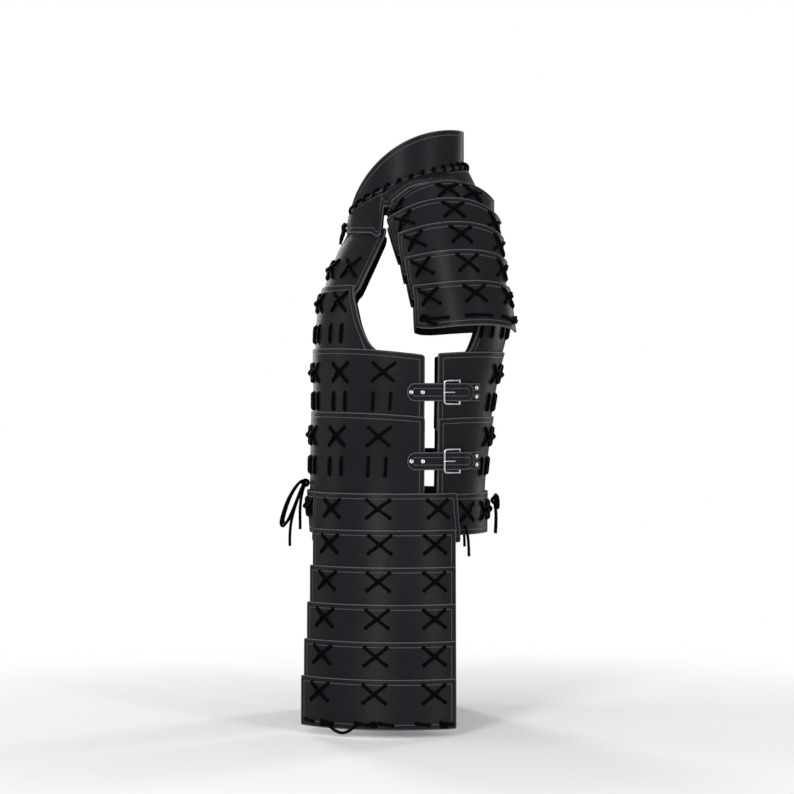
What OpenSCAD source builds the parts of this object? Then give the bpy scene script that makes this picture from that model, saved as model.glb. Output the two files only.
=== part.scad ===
// Laced leather chest armour: a standing collar on a yoke, a cuirass of overlapping
// lames, two shoulder guards and two tassets, all joined by round cord lacing.
// Millimetres. The front faces -Y, the wearer's left is +X and up is +Z. The origin is
// the middle of the neck base, at the height where the shoulders carry the weight.

/* [Leather and cord] */
// Thickness of the leather
leather_t = 3.5; // [3:0.25:4]
// Gap between two lames where one lies on the other
lap_gap = 0.8; // [0.6:0.1:1.2]
// Diameter of the lacing cord
cord_d = 4.6; // [4:0.1:5]
// Room round the cord in a punched hole
hole_room = 0.45; // [0.3:0.05:0.6]

/* [Cuirass] */
// Half width at the chest
chest_half_w = 200; // [192:1:206]
// Half width at the waist
waist_half_w = 182; // [176:1:186]
// Half width at the lower edge of the waist lame
hem_half_w = 186; // [182:1:190]
// Reach of the chest in front of the neck axis
chest_front = 146; // [140:1:150]
// Reach of the waist in front of the neck axis
waist_front = 156; // [152:1:160]
// Reach of the shoulder blades behind the neck axis
chest_back = 186; // [180:1:190]
// Reach of the waist behind the neck axis
waist_back = 148; // [144:1:152]
// Depth below the origin of the widest level of the chest
chest_drop = 262; // [250:1:270]
// Depth below the origin of the waist
waist_drop = 528; // [520:1:536]
// Depth below the origin of the cuirass' lower edge
hem_drop = 614; // [606:1:622]
// Length that one cuirass lame laps over the next
body_lap = 22; // [18:1:26]
// How far the front plates reach behind the neck axis at the side
side_front_reach = 41; // [36:1:44]
// Where the back plates begin at the side
side_back_reach = 63; // [58:1:68]

/* [Collar and yoke] */
// Half width of the collar at its base
collar_half_w = 88; // [85:1:90]
// Reach of the collar behind the neck axis
collar_back = 112; // [109:1:114]
// Reach of the collar in front of the neck axis
collar_front = 87; // [84:1:89]
// Height of the collar's rim at the back
collar_rim_z = 83; // [76:1:90]
// Spacing of the whip stitches round the collar
whip_pitch = 18.4; // [17:0.1:22]

/* [Shoulder guards] */
// Distance of the first guard lame's top edge from the middle plane
guard_x = 137; // [135:1:142]
// Height of the first guard lame's top edge
guard_z = -14; // [-16:1:-8]
// How far the guards sit behind the neck axis
guard_y = 63; // [58:1:68]
// Height of a guard lame
guard_h = 77; // [72:1:80]
// Spacing of the guard lames
guard_pitch = 54; // [52:1:56]
// Backward slope of the upper arm
arm_slope = 10; // [8:1:12]

/* [Tassets] */
// Height of a tasset lame
tasset_h = 83; // [78:1:88]
// Spacing of the tasset lames
tasset_pitch = 61.5; // [58:0.5:64]
// Outward slope of a tasset lame
tasset_slope = 4; // [3:0.5:5]
// Front edge of the hip lame, in front of the neck axis
tasset_front = 143.5; // [138:0.5:146]
// Rear edge of the tassets, behind the neck axis
tasset_rear = 94; // [90:1:98]
// How much further forward each lower lame reaches
tasset_step = 4.7; // [4:0.1:6]

/* [Straps] */
// Width of the side straps
strap_w = 30; // [26:1:32]
// Thickness of the side straps
strap_t = 2.6; // [2.4:0.1:3]
// Diameter of a rivet head
rivet_d = 9; // [8:0.5:10]

/* [Hidden] */
$fn = 32;

black_leather = "#26252a";
black_cord = "#141416";
steel = "#b9bbbe";

// A lame lies this far outside the one below it in the stack
lap_step = leather_t + lap_gap;
cord_r = cord_d / 2;
// The cord draws in by this much where it goes through the leather
cord_squeeze = 0.15;
// Under strands of a cross lie this far off the leather
cord_rest = 0.3;

// Roundness of the cuirass in plan: 2 is an ellipse, more is squarer
plan_power = 2.2;

// Cuirass outline against height: half width, front reach and back reach
half_w_line = [[-hem_drop, hem_half_w], [-waist_drop, waist_half_w], [-400, 192],
    [-chest_drop, chest_half_w], [-200, 189], [-150, 168], [-104, 138], [-40, 108]];
front_line = [[-hem_drop, waist_front + 2], [-waist_drop, waist_front], [-400, 150],
    [-chest_drop - 12, chest_front], [-210, 136], [-168, 124], [-126, 107], [-104, 95], [-40, 58]];
back_line = [[-hem_drop, waist_back + 5], [-waist_drop, waist_back], [-400, 161],
    [-340, 170], [-chest_drop, chest_back], [-190, 182], [-120, 167], [-40, 138]];

// A point on the cuirass: t turns from the front (0) past the wearer's left (90) to the back
function powered(v) = sign(v) * pow(abs(v), 2 / plan_power);
function mid_y(z) = (lookup(z, back_line) - lookup(z, front_line)) / 2;
function half_d(z) = (lookup(z, back_line) + lookup(z, front_line)) / 2;
function body_point(t, z, off) = [
    (lookup(z, half_w_line) + off) * powered(sin(t)),
    mid_y(z) - (half_d(z) + off) * powered(cos(t)), z];
// The turn at which the outline passes a given y
function turn_at(y, z) =
    let (u = (mid_y(z) - y) / half_d(z))
    acos(sign(u) * pow(abs(u), plan_power / 2));

// Top edges of the cuirass lames, and the height of each lame's lower edge
front_tops = [-92, -190, -297, -405, -542];
back_tops = [-42, -190, -303, -414, -544];
function lame_bottom(tops, k) = k < 4 ? tops[k + 1] - body_lap : -hem_drop;
// A lame leans out at its top edge, to lie over the lame above it
function lame_off(tops, k, z) =
    let (v = (z - lame_bottom(tops, k)) / (tops[k] - lame_bottom(tops, k)))
    (k == 0 ? lap_gap : k < 4 ? lap_step + 0.7 : lap_step + 1.7) * v;

// Armhole edges: how far forward or back of the neck axis, against height
front_arm_edge = [[-310, 0], [-291, -40], [-267, -59], [-227, -72], [-188, -74], [-104, -25], [-60, -20]];
back_arm_edge = [[-322, 90], [-306, 112], [-282, 126], [-240, 136], [-188, 130], [-110, 104], [-30, 96]];
function front_edge_turn(k, z) =
    turn_at(k == 0 ? lookup(z, [[-215, -68], [-202, -67], [-104, -25], [-60, -20]])
        : k == 1 ? lookup(z, front_arm_edge) : side_front_reach, z);
function back_edge_turn(k, z) =
    turn_at(k < 2 ? lookup(z, back_arm_edge) : side_back_reach, z);
// The two lames below the armholes dip a little at the sides
front_dips = [0, 0, 13, 9, 0];
back_dips = [24, 0, 4, 3, 0];

// The outer face of a cuirass lame as a function of its turn and height
front_face = [for (k = [0:4]) function(t, z) body_point(t, z, lame_off(front_tops, k, z))];
back_face = [for (k = [0:4]) function(t, z) body_point(t, z, lame_off(back_tops, k, z))];

// Lacing columns, as turns from the front or from the back, and rows by lame
front_columns = [[0, 17, 43], [0, 15, 41.5], [0, 18, 48, 78], [0, 18, 48, 78], [0, 18]];
back_columns = [[0, 18], [0, 18, 42], [0, 20], [0, 20], [0, 20, 43]];
front_cross_z = [-160, -218, -338, -446, -570];
back_cross_z = [-120, -222, -340, -448, -575];
front_stitch_z = [0, -272, -387, -497, 0];
back_stitch_z = [0, -264, -389, -499, 0];
cross_w = 40;
cross_h = 31;
stitch_l = 29;
function mirrored_columns(list) = [for (c = list) each (c == 0 ? [0] : [-c, c])];
function half_turn(w, z) = w / 2 / (lookup(z, half_w_line) * 0.92) * 57.3;

// Strands are [start, end, layer]: start and end are places on the face, and layer is 0
// for a strand on the leather and 1 for one that crosses over another
function cross_strands(u, v, du, dv) = [
    [[u - du, v + dv], [u + du, v - dv], 0],
    [[u - du, v - dv], [u + du, v + dv], 1]];
function body_strands(columns, z, stitch_z, middle) = [
    for (c = mirrored_columns(columns))
        each concat(cross_strands(middle + c, z, half_turn(cross_w, z), cross_h / 2),
            stitch_z == 0 ? [] : [for (s = [-1, 1])
                let (u = middle + c + s * half_turn(cross_w - 8, z))
                [[u, stitch_z + stitch_l / 2], [u, stitch_z - stitch_l / 2], 0]])];
front_strands = [for (k = [0:4])
    body_strands(front_columns[k], front_cross_z[k], front_stitch_z[k], 0)];
back_strands = [for (k = [0:4])
    body_strands(back_columns[k], back_cross_z[k], back_stitch_z[k], 180)];

// Collar: turned from the back (0) to the front, where its two ends stop short of meeting
collar_end = 168;
collar_mid_y = (collar_back - collar_front) / 2;
collar_half_d = (collar_back + collar_front) / 2;
collar_base_back_z = 14;
collar_base_front_z = -78;
collar_rim_front_z = -64;
rim_pull = 8;
function collar_rise(a) = (1 + cos(a)) / 2;
function collar_base_z(a) = collar_base_front_z
    + (collar_base_back_z - collar_base_front_z) * pow(collar_rise(a), 0.55);
function collar_top_z(a) = collar_rim_front_z
    + (collar_rim_z - collar_rim_front_z) * sin(90 * pow(collar_rise(a), 0.62));
function collar_point(a, v, off) = [
    (collar_half_w - rim_pull * v + off) * sin(a),
    collar_mid_y + (collar_half_d + off) * cos(a),
    collar_base_z(a) + v * (collar_top_z(a) - collar_base_z(a))];
collar_face = function(a, v) collar_point(-a, v, 0);

// Yoke: from the collar's base out over the shoulders, down to its outer edge on the body
yoke_lap = 7;
yoke_turns = [0, 15, 30, 45, 58, 70, 80, 90, 98, 106, 112, 115, 118, 124, 134, 146, 158, 168];
yoke_edge_z = [[0, -52], [30, -58], [45, -66], [58, -27], [70, -22], [80, -21.5], [90, -23], [98, -29],
    [106, -41], [112, -56], [115, -66], [118, -102], [130, -110], [150, -104], [168, -101]];
// How far the yoke's outer edge stands out from the cuirass' outline over the shoulders
yoke_edge_out = [[45, 1], [58, 29], [70, 29], [90, 29], [98, 25], [106, 19], [112, 7], [115, -8], [118, 1]];
yoke_bulge = [[45, 5], [58, 8], [98, 8], [106, 4], [112, 2], [118, 3], [168, 6]];
function yoke_point(a, q, off) =
    let (inner = collar_point(a, 0, lap_step + off) + [0, 0, yoke_lap],
        t = abs(a),
        outer = body_point(180 - a, lookup(t, yoke_edge_z), lap_step + lookup(t, yoke_edge_out) + off))
    inner + (outer - inner) * q + [0, 0, lookup(t, yoke_bulge) * sin(180 * q)];

// Shoulder guard lames: [axis angle from vertical, radius at the top edge]
guard_turns = [50, 40.5, 29.8, 22.3, 15.8];
guard_room = [0, 1.3, 0.6, 0.3, 0];
guard_radii = [101, 100, 98, 95, 90];
guard_spans = [66, 74, 76, 78, 84];
guard_tucks = [5.4, 6.8, 5.4, 4.6];
function guard_taper(k) = k < 4
    ? (guard_radii[k] - guard_radii[k + 1] + leather_t + guard_tucks[k]) / guard_pitch
    : 0.05;
function plate_turn(k) = guard_turns[k] - atan(guard_taper(k));
function guard_clear(k) = lap_gap + guard_room[k]
    + (guard_h - guard_pitch) * max(0, tan(plate_turn(k - 1) - plate_turn(k)));
// Middle of each lame's top edge, on its outer face, as [x, z] in the guard's own plane
function guard_top(k) = k == 0 ? [guard_x, guard_z]
    : let (p = guard_top(k - 1), a = guard_turns[k - 1],
        out = leather_t + guard_clear(k) - guard_pitch * guard_taper(k - 1))
    [p[0] + guard_pitch * sin(a) + out * cos(a), p[1] - guard_pitch * cos(a) + out * sin(a)];
// Turns a point of the guard's plane by the slope of the arm
function sloped(p) = [p[0], guard_y - (p[2] - guard_z) * sin(arm_slope) + p[1] * cos(arm_slope),
    guard_z + (p[2] - guard_z) * cos(arm_slope) + p[1] * sin(arm_slope)];
// A point on the outer face: a is the turn about the arm and h the height from the top edge
function guard_point(k, a, h) =
    let (r = guard_radii[k] + h * guard_taper(k), x = r * cos(a) - guard_radii[k],
        t = guard_turns[k], o = guard_top(k))
    sloped([o[0] + x * cos(t) - h * sin(t), r * sin(a), o[1] + x * sin(t) + h * cos(t)]);
guard_face = [for (k = [0:4]) function(a, h) guard_point(k, a, h)];
guard_columns = [[-48, 9, 36], [-43, 11, 62], [-36, 14, 65], [-34, 16, 65], [-33, 18, 67]];
guard_cross_h = -24;
guard_cross_w = 34;
guard_hem_h = -62;
function guard_strands(k) =
    let (du = guard_cross_w / 2 / guard_radii[k] * 57.3)
    concat([for (a = guard_columns[k]) each cross_strands(a, guard_cross_h, du, 13)],
        k < 4 ? [] : [for (a = [-48, -10, 28, 64]) [[a, guard_hem_h], [a + 20, guard_hem_h + 1], 0]]);

hip_off = lap_step + 1.7 + lap_step;
hip_flare = 3;
// The hip lame is the tasset's fixed first lame and follows the waist
hip_front_turn = turn_at(-tasset_front, -hem_drop);
hip_rear_turn = turn_at(tasset_rear, -hem_drop);
hip_top = -542;
hip_bottom = hip_top - tasset_h;
function hip_extra(z) = hip_off + hip_flare * (hip_top - z) / tasset_h;
hip_face = function(t, z) body_point(t, max(z, -hem_drop), hip_extra(z)) - [0, 0, max(z, -hem_drop) - z];

// Tasset lames are turned about one upright axis inside the hip, which fits them to the hip lame
tasset_axis_x = 40;
tasset_axis_y = -4;
tasset_top_z = -hem_drop + 11;
tasset_r1 = max([for (t = [hip_front_turn:2:hip_rear_turn]) for (z = [hip_bottom, tasset_top_z])
    norm([hip_face(t, z)[0] - tasset_axis_x, hip_face(t, z)[1] - tasset_axis_y])
        - (tasset_top_z - z) * tan(tasset_slope)]) + cord_rest + leather_t;
function tasset_r(k) = tasset_r1 + (k - 1) * (tasset_pitch * tan(tasset_slope) + lap_step);
function tasset_z(k) = tasset_top_z - (k - 1) * tasset_pitch;
function tasset_point(k, a, h) =
    let (r = tasset_r(k) - h * tan(tasset_slope))
    [tasset_axis_x + r * cos(a), tasset_axis_y + r * sin(a), tasset_z(k) + h];
function tasset_front_turn(k) = -asin((tasset_front + k * tasset_step + tasset_axis_y) / tasset_r(k));
function tasset_rear_turn(k) = asin((tasset_rear - tasset_axis_y) / tasset_r(k));
tasset_face = [for (k = [0:5]) function(a, h) tasset_point(k, a, h)];
tasset_inset = 42;
tasset_cross_w = 37;
tasset_cross_h = 29;
tasset_cross_drop = -24;
function tasset_column(k, i) =
    let (a = tasset_front_turn(k), b = tasset_rear_turn(k), in = tasset_inset / tasset_r(k) * 57.3)
    i == 0 ? a + in : i == 2 ? b - in : (a + b) / 2;
hem_stitch_h = -tasset_h + 9;
function tasset_strands(k) =
    let (du = tasset_cross_w / 2 / tasset_r(k) * 57.3)
    concat([for (i = [0:2]) each cross_strands(tasset_column(k, i), tasset_cross_drop, du,
            tasset_cross_h / 2)],
        k < 5 ? [] : [for (i = [0:2]) for (s = [-1, 1])
            let (u = tasset_column(k, i) + s * du * 1.1)
            [[u - du * 0.55, hem_stitch_h + 2], [u + du * 0.55, hem_stitch_h - 1], 0]]);

hip_strands = [for (u = [hip_front_turn + 15, (hip_front_turn + hip_rear_turn) / 2, hip_rear_turn - 14])
    each cross_strands(u, hip_top - 26, half_turn(tasset_cross_w, hip_top), tasset_cross_h / 2)];

// Geometry helpers
function unit(v) = v / norm(v);
function facing(f, p) =
    let (e = 0.05)
    unit(cross(f(p[0] + e, p[1]) - f(p[0] - e, p[1]), f(p[0], p[1] + e) - f(p[0], p[1] - e)));

// Sets children on the chord from face place a to b, with Z out of the leather
module on_chord(f, a, b) {
    p = f(a[0], a[1]);
    q = f(b[0], b[1]);
    x = unit(q - p);
    out = facing(f, (a + b) / 2);
    z = unit(out - (out * x) * x);
    y = cross(z, x);
    o = (p + q) / 2;
    multmatrix([[x[0], y[0], z[0], o[0]], [x[1], y[1], z[1], o[1]], [x[2], y[2], z[2], o[2]], [0, 0, 0, 1]])
        children();
}

// Height of the face over the chord's middle, so that a strand clears the curve
function bulge(f, a, b) =
    let (p = f(a[0], a[1]), x = unit(f(b[0], b[1]) - p), out = facing(f, (a + b) / 2), z = unit(out - (out * x) * x))
    max([for (v = [0:0.0625:1]) let (m = a + (b - a) * v) (f(m[0], m[1]) - p) * z]);

// A strand: up out of one hole, across the leather and down into the other. A strand on the
// leather runs straight, and one that crosses it bows over it. Its legs through the holes
// are solids of their own that end just under it
module strand(f, s) {
    l = norm(f(s[1][0], s[1][1]) - f(s[0][0], s[0][1]));
    low = cord_r + cord_rest;
    rise = bulge(f, s[0], s[1]) + s[2] * (cord_d + cord_rest);
    half = l / 2 + cord_r;
    e = s[2] * 2 * atan(rise / half);
    leg_r = cord_r - cord_squeeze;
    leg_top = low + (1 - s[2]) * rise - cord_r * cos(e) - 0.1;
    on_chord(f, s[0], s[1]) {
        if (s[2] == 0) translate([-half, 0, low + rise]) rotate([0, 90, 0])
            cylinder(r = cord_r, h = 2 * half);
        else {
            big = half / sin(e);
            translate([0, 0, low + rise - big]) rotate([90, 0, 0]) rotate([0, 0, 90 - e])
                rotate_extrude(angle = 2 * e) translate([big, 0]) circle(cord_r);
        }
        for (m = [-1, 1]) translate([m * l / 2, 0, -leather_t - cord_rest])
            cylinder(r = leg_r, h = leather_t + cord_rest + leg_top);
    }
}

module strand_holes(f, s) {
    l = norm(f(s[1][0], s[1][1]) - f(s[0][0], s[0][1]));
    on_chord(f, s[0], s[1]) for (m = [-1, 1]) translate([m * l / 2, 0, -leather_t * 2.2])
        cylinder(r = cord_r + hole_room, h = leather_t * 4);
}

module strands(f, list) {
    color(black_cord) for (s = list) strand(f, s);
}

// A sheet of leather lofted through a grid of outer points and a grid of inner points
module sheet(outer, inner) {
    rows = len(outer);
    cols = len(outer[0]);
    n = rows * cols;
    function at(i, j) = i * cols + j;
    skin = [for (i = [0:rows - 2]) for (j = [0:cols - 2])
        each [[at(i, j), at(i, j + 1), at(i + 1, j + 1)], [at(i, j), at(i + 1, j + 1), at(i + 1, j)]]];
    back = [for (f = skin) [f[0] + n, f[2] + n, f[1] + n]];
    ends = [for (i = [0:rows - 2]) each [
        [at(i, 0), at(i + 1, 0), at(i + 1, 0) + n], [at(i, 0), at(i + 1, 0) + n, at(i, 0) + n],
        [at(i, cols - 1), at(i + 1, cols - 1) + n, at(i + 1, cols - 1)],
        [at(i, cols - 1), at(i, cols - 1) + n, at(i + 1, cols - 1) + n]]];
    edges = [for (j = [0:cols - 2]) each [
        [at(0, j), at(0, j) + n, at(0, j + 1) + n], [at(0, j), at(0, j + 1) + n, at(0, j + 1)],
        [at(rows - 1, j), at(rows - 1, j + 1) + n, at(rows - 1, j) + n],
        [at(rows - 1, j), at(rows - 1, j + 1), at(rows - 1, j + 1) + n]]];
    polyhedron(points = concat([for (r = outer) each r], [for (r = inner) each r]),
        faces = concat(skin, back, ends, edges), convexity = 6);
}

// A cuirass lame between two turns that may change with height
module cuirass_lame(tops, k, turns, dips, list, face) {
    cols = 20;
    rows = k < 2 ? 6 : k < 4 ? 4 : 2;
    bottom = lame_bottom(tops, k);
    function grid(off) = [for (i = [0:rows]) [for (j = [0:cols])
        let (w = 2 * j / cols - 1, v = i / rows, z0 = bottom + (tops[k] - bottom) * v,
            range = turns(z0), t = (range[0] + range[1]) / 2 + w * (range[1] - range[0]) / 2,
            dip = (dips[k] * v + (k < 4 ? dips[k + 1] : 0) * (1 - v)) * pow(w, k == 0 ? 2 : 4))
        body_point(t, z0, lame_off(tops, k, z0) + off) - [0, 0, dip]]];
    color(black_leather) difference() {
        sheet(grid(0), grid(-leather_t));
        for (s = list) strand_holes(face, s);
    }
}

module front_lame(k) cuirass_lame(front_tops, k,
    function(z) let (e = front_edge_turn(k, z)) [-e, e], front_dips, front_strands[k], front_face[k]);
module back_lame(k) cuirass_lame(back_tops, k,
    function(z) let (e = back_edge_turn(k, z)) [e, 360 - e], back_dips, back_strands[k], back_face[k]);

module collar() {
    cols = 32;
    function grid(off) = [for (v = [0, 0.5, 1]) [for (j = [0:cols])
        collar_point(collar_end * (1 - 2 * j / cols), v, off)]];
    color(black_leather) difference() {
        sheet(grid(0), grid(-leather_t));
        for (a = whip_turns) collar_hole(a);
    }
}

module collar_yoke() {
    turns = concat([for (i = [len(yoke_turns) - 1:-1:1]) yoke_turns[i]], [for (a = yoke_turns) -a]);
    function grid(off) = [for (q = [1, 0.75, 0.5, 0.25, 0]) [for (a = turns) yoke_point(a, q, off)]];
    color(black_leather) difference() {
        sheet(grid(0), grid(-leather_t));
        left_and_right() guard_seat();
    }
}
// The yoke's outer edge is cut back to lie under the first guard lame
module guard_seat() {
    r = guard_radii[0] - leather_t - 0.4;
    translate([0, guard_y, guard_z]) rotate([arm_slope, 0, 0]) translate([0, 0, -guard_z])
        translate([guard_x, 0, guard_z]) rotate([0, -guard_turns[0], 0]) translate([-guard_radii[0], 0, 0])
        rotate([0, 0, -guard_spans[0] - 2]) rotate_extrude(angle = 2 * guard_spans[0] + 4)
        polygon([[r + 80, 1], [r, 1], [r - guard_h * guard_taper(0), -guard_h], [r + 80, -guard_h]]);
}

// Whip stitches loop over the yoke's inner edge, through the collar
whip_count = 2 * floor(3.14 * (collar_half_w + collar_half_d) / 2 * collar_end / 180 / whip_pitch);
whip_turns = [for (i = [0:whip_count - 1]) collar_end * (2 * (i + 0.5) / whip_count - 1) * 0.97];
// Each stitch is an arc round this place below the yoke's edge, into a hole above it
whip_drop = 1;
whip_r = lap_step + cord_r + cord_rest + 0.7;
module at_whip(a) {
    p = collar_point(a, 0, lap_step) + [0, 0, yoke_lap];
    turn = atan2(cos(a) / collar_half_d, sin(a) / collar_half_w);
    translate(p) rotate([0, 0, turn]) children();
}
module collar_hole(a) {
    at_whip(a) translate([-lap_step - leather_t * 2, 0, whip_r - whip_drop]) rotate([0, 90, 0])
        cylinder(r = cord_r + hole_room, h = leather_t * 4);
}
module collar_lacing() {
    color(black_cord) {
        for (a = whip_turns) at_whip(a) translate([-lap_step, 0, -whip_drop]) rotate([90, 0, 0])
            rotate([0, 0, 12]) rotate_extrude(angle = 90) translate([whip_r, 0]) circle(cord_r);
        neck_tie();
    }
}

// The neck tie: a knot of two wraps between the collar's ends
module neck_tie() {
    for (s = [-1, 1]) translate([s * 5.5, -collar_front - 3.9, -84])
        rotate([0, 90, 0]) rotate_extrude() translate([5.2, 0]) circle(cord_r);
}

module guard_lame(k) {
    h = guard_h;
    m = guard_taper(k);
    r = guard_radii[k];
    span = guard_spans[k];
    o = guard_top(k);
    color(black_leather) difference() {
        translate([0, guard_y, guard_z]) rotate([arm_slope, 0, 0]) translate([0, 0, -guard_z])
            translate([o[0], 0, o[1]]) rotate([0, -guard_turns[k], 0]) translate([-r, 0, 0])
            rotate([0, 0, -span]) rotate_extrude(angle = 2 * span)
            polygon([[r, 0], [r - leather_t, 0], [r - leather_t - h * m, -h], [r - h * m, -h]]);
        for (s = guard_strands(k)) strand_holes(guard_face[k], s);
    }
}
module guard_lacing(k) strands(guard_face[k], guard_strands(k));

module tasset_lame(k) {
    r = tasset_r(k);
    m = tan(tasset_slope);
    spare = 5;
    color(black_leather) difference() {
        translate([tasset_axis_x, tasset_axis_y, tasset_z(k)]) rotate([0, 0, tasset_front_turn(k) - spare])
            rotate_extrude(angle = tasset_rear_turn(k) - tasset_front_turn(k) + 2 * spare)
            polygon([[r, 0], [r - leather_t, 0], [r - leather_t + tasset_h * m, -tasset_h],
                [r + tasset_h * m, -tasset_h]]);
        tasset_trim(k, tasset_front_turn(k), -1);
        tasset_trim(k, tasset_rear_turn(k), 1);
        for (s = tasset_strands(k)) strand_holes(tasset_face[k], s);
    }
}
// Cuts a tasset's end square to the leather, upright as seen from the side
module tasset_trim(k, a, side) {
    big = 60;
    translate([tasset_axis_x, tasset_axis_y, tasset_z(k)]) rotate([0, 0, a]) translate([tasset_r(k), 0, 0])
        rotate([-atan(tan(tasset_slope) * tan(a)), 0, 0])
        translate([-big / 2, side > 0 ? 0 : -big, -tasset_h - big / 2]) cube([big, big, tasset_h + big]);
}
module tasset_lacing(k) strands(tasset_face[k], tasset_strands(k));

module hip_lame() {
    cols = 12;
    function grid(off) = [for (i = [0:2]) [for (j = [0:cols])
        let (t = hip_front_turn + (hip_rear_turn - hip_front_turn) * j / cols,
            z = hip_bottom + tasset_h * i / 2)
        body_point(t, max(z, -hem_drop), hip_extra(z) + off) - [0, 0, max(z, -hem_drop) - z]]];
    color(black_leather) difference() {
        sheet(grid(0), grid(-leather_t));
        for (s = hip_strands) strand_holes(hip_face, s);
    }
}

module left_and_right() {
    children();
    mirror([1, 0, 0]) children();
}

module front_lacing() for (k = [0:4]) strands(front_face[k], front_strands[k]);
module back_lacing() for (k = [0:4]) strands(back_face[k], back_strands[k]);
module shoulder_hip_lacing() left_and_right() {
    guard_lacing(0);
    strands(hip_face, hip_strands);
}

// Side straps: a billet riveted to the front plates runs back under the buckle's bar and
// over its pin, and a doubled chape riveted to the back plates holds the pin
strap_levels = [-372, -488];
strap_front_y = 12;
strap_end_y = 115;
bar_y = 71;
pin_y = 95;
chape_end_y = 128;
pin_r = 1.8;
pin_n = 5.4;
bar_d = 3.6;
frame_h = strap_w + 9;
plate_rise = 3.2;
// Height of the billet's inner face off the plates, against y
billet_rise = [[strap_front_y, 0.4], [bar_y + 4, 0.4], [pin_y - 3.4, 10.8], [pin_y + 4, 10.8],
    [pin_y + 14, 7.3], [strap_end_y, 7.7]];
function side_point(y, z, n) = body_point(turn_at(y, z), z, plate_rise + n);
// Lean of the plates at the strap, with their own lean out towards the top, and a frame that leans with them
function side_lean(z) = atan((side_point(bar_y, z + 10, 0)[0] - side_point(bar_y, z - 10, 0)[0]) / 20 + 0.05);
module leaning(z) {
    o = side_point(bar_y, z, 0);
    translate(o) rotate([0, side_lean(z), 0]) translate(-o) children();
}
module at_side(y, z) {
    p = side_point(y, z, 0);
    d = side_point(y + 6, z, 0) - side_point(y - 6, z, 0);
    translate(p) rotate([0, 0, atan2(d[1], d[0]) - 90]) children();
}
billet_ys = concat([for (y = [strap_front_y:6:bar_y + 1]) y], [bar_y + 4, pin_y - 3.4, pin_y + 4,
    pin_y + 14, strap_end_y]);
function billet_line(z, off) = [for (y = billet_ys)
    let (p = side_point(y, z, lookup(y, billet_rise) + off)) [p[0], p[1]]];
module billet(z) difference() {
    line = billet_line(z, 0);
    back = billet_line(z, strap_t);
    translate([0, 0, z - strap_w / 2]) linear_extrude(strap_w)
        polygon(concat(line, [for (i = [len(back) - 1:-1:0]) back[i]]));
    for (y = rivet_ys) at_side(y, z) rotate([0, 90, 0]) cylinder(r = rivet_d / 4 + 0.3, h = 30, center = true);
    at_side(pin_y - 8.4, z) translate([2, -4.5, -2.2]) cube([14, 9, 4.4]);
    // The front end's corners are cut back
    for (m = [-1, 1]) translate([line[0][0], strap_front_y, z + m * strap_w / 2]) rotate([45, 0, 0])
        cube([40, 12, 12], center = true);
}
rivet_ys = [18.5, 36.8];
function chape_line(z, off) = [for (y = [pin_y - 1, pin_y + 8, pin_y + 16, pin_y + 24, chape_end_y])
    let (p = side_point(y, z, off + 1.2 * max(0, y - pin_y) / (chape_end_y - pin_y))) [p[0], p[1]]];
module at_pin(z) {
    p = side_point(pin_y, z, 0);
    d = side_point(pin_y + 6, z, 0) - side_point(pin_y - 6, z, 0);
    translate([p[0], p[1]]) rotate(atan2(d[1], d[0]) - 90) translate([pin_n, 0]) children();
}
module chape(z) {
    gap = 5.2;
    w = strap_w / 2 - gap / 2;
    line = chape_line(z, 0.6);
    back = chape_line(z, 0.8 + 2 * strap_t);
    for (m = [-1, 1]) translate([0, 0, z + m * (strap_w + gap) / 4 - w / 2])
        linear_extrude(w) difference() {
            union() {
                polygon(concat(line, [for (i = [len(back) - 1:-1:0]) back[i]]));
                at_pin(z) circle(r = pin_r + 0.3 + strap_t);
            }
            at_pin(z) circle(r = pin_r + 0.3);
        }
}
module side_straps() color(black_leather) left_and_right() for (z = strap_levels) leaning(z) {
    billet(z);
    chape(z);
}

// A rivet: a domed head with a dimple over a shank that ends behind the leather
module rivet(grip) {
    rotate_extrude() polygon([[0, -grip], [rivet_d / 4, -grip], [rivet_d / 4, 0], [rivet_d / 2, 0],
        [rivet_d / 2, 0.6], [rivet_d / 2 - 1, 1.6], [rivet_d / 2 - 2.2, 2], [1.2, 1.9], [0.8, 1.3], [0, 1.2]]);
}
module buckle(z) {
    at_side(pin_y, z) translate([pin_n, 0, 0]) {
        difference() {
            translate([-bar_d / 2, bar_y - pin_y - bar_d / 2, -frame_h / 2])
                cube([bar_d, pin_y - bar_y + bar_d, frame_h]);
            translate([-bar_d, bar_y - pin_y + bar_d / 2, -frame_h / 2 + bar_d])
                cube([2 * bar_d, pin_y - bar_y + bar_d, frame_h - 2 * bar_d]);
        }
        translate([0, 0, -frame_h / 2 + 1]) cylinder(r = pin_r, h = frame_h - 2);
    }
    // The prong's eye goes round the pin, and its tip lies on the bar
    at_side(pin_y, z) translate([pin_n, 0, 0]) {
        difference() {
            union() {
                translate([0, 0, -1.6]) cylinder(r = pin_r + 2, h = 3.2);
                translate([bar_d / 2 + 1.5, 0, 0]) rotate([90, 0, 0]) cylinder(r = 1.3, h = pin_y - bar_y + 3);
            }
            translate([0, 0, -3]) cylinder(r = pin_r + 0.3, h = 6);
        }
    }
}
module side_buckles() color(steel) left_and_right() for (z = strap_levels) leaning(z) {
    buckle(z);
    for (y = rivet_ys) at_side(y, z) translate([strap_t + 0.7, 0, 0]) rotate([0, 90, 0]) rivet(strap_t + 0.4);
    for (m = [-1, 1]) at_side(chape_end_y - 6, z) translate([2 * strap_t + 2.2, 0, m * strap_w / 4])
        rotate([0, 90, 0]) rivet(0.1);
}

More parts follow.
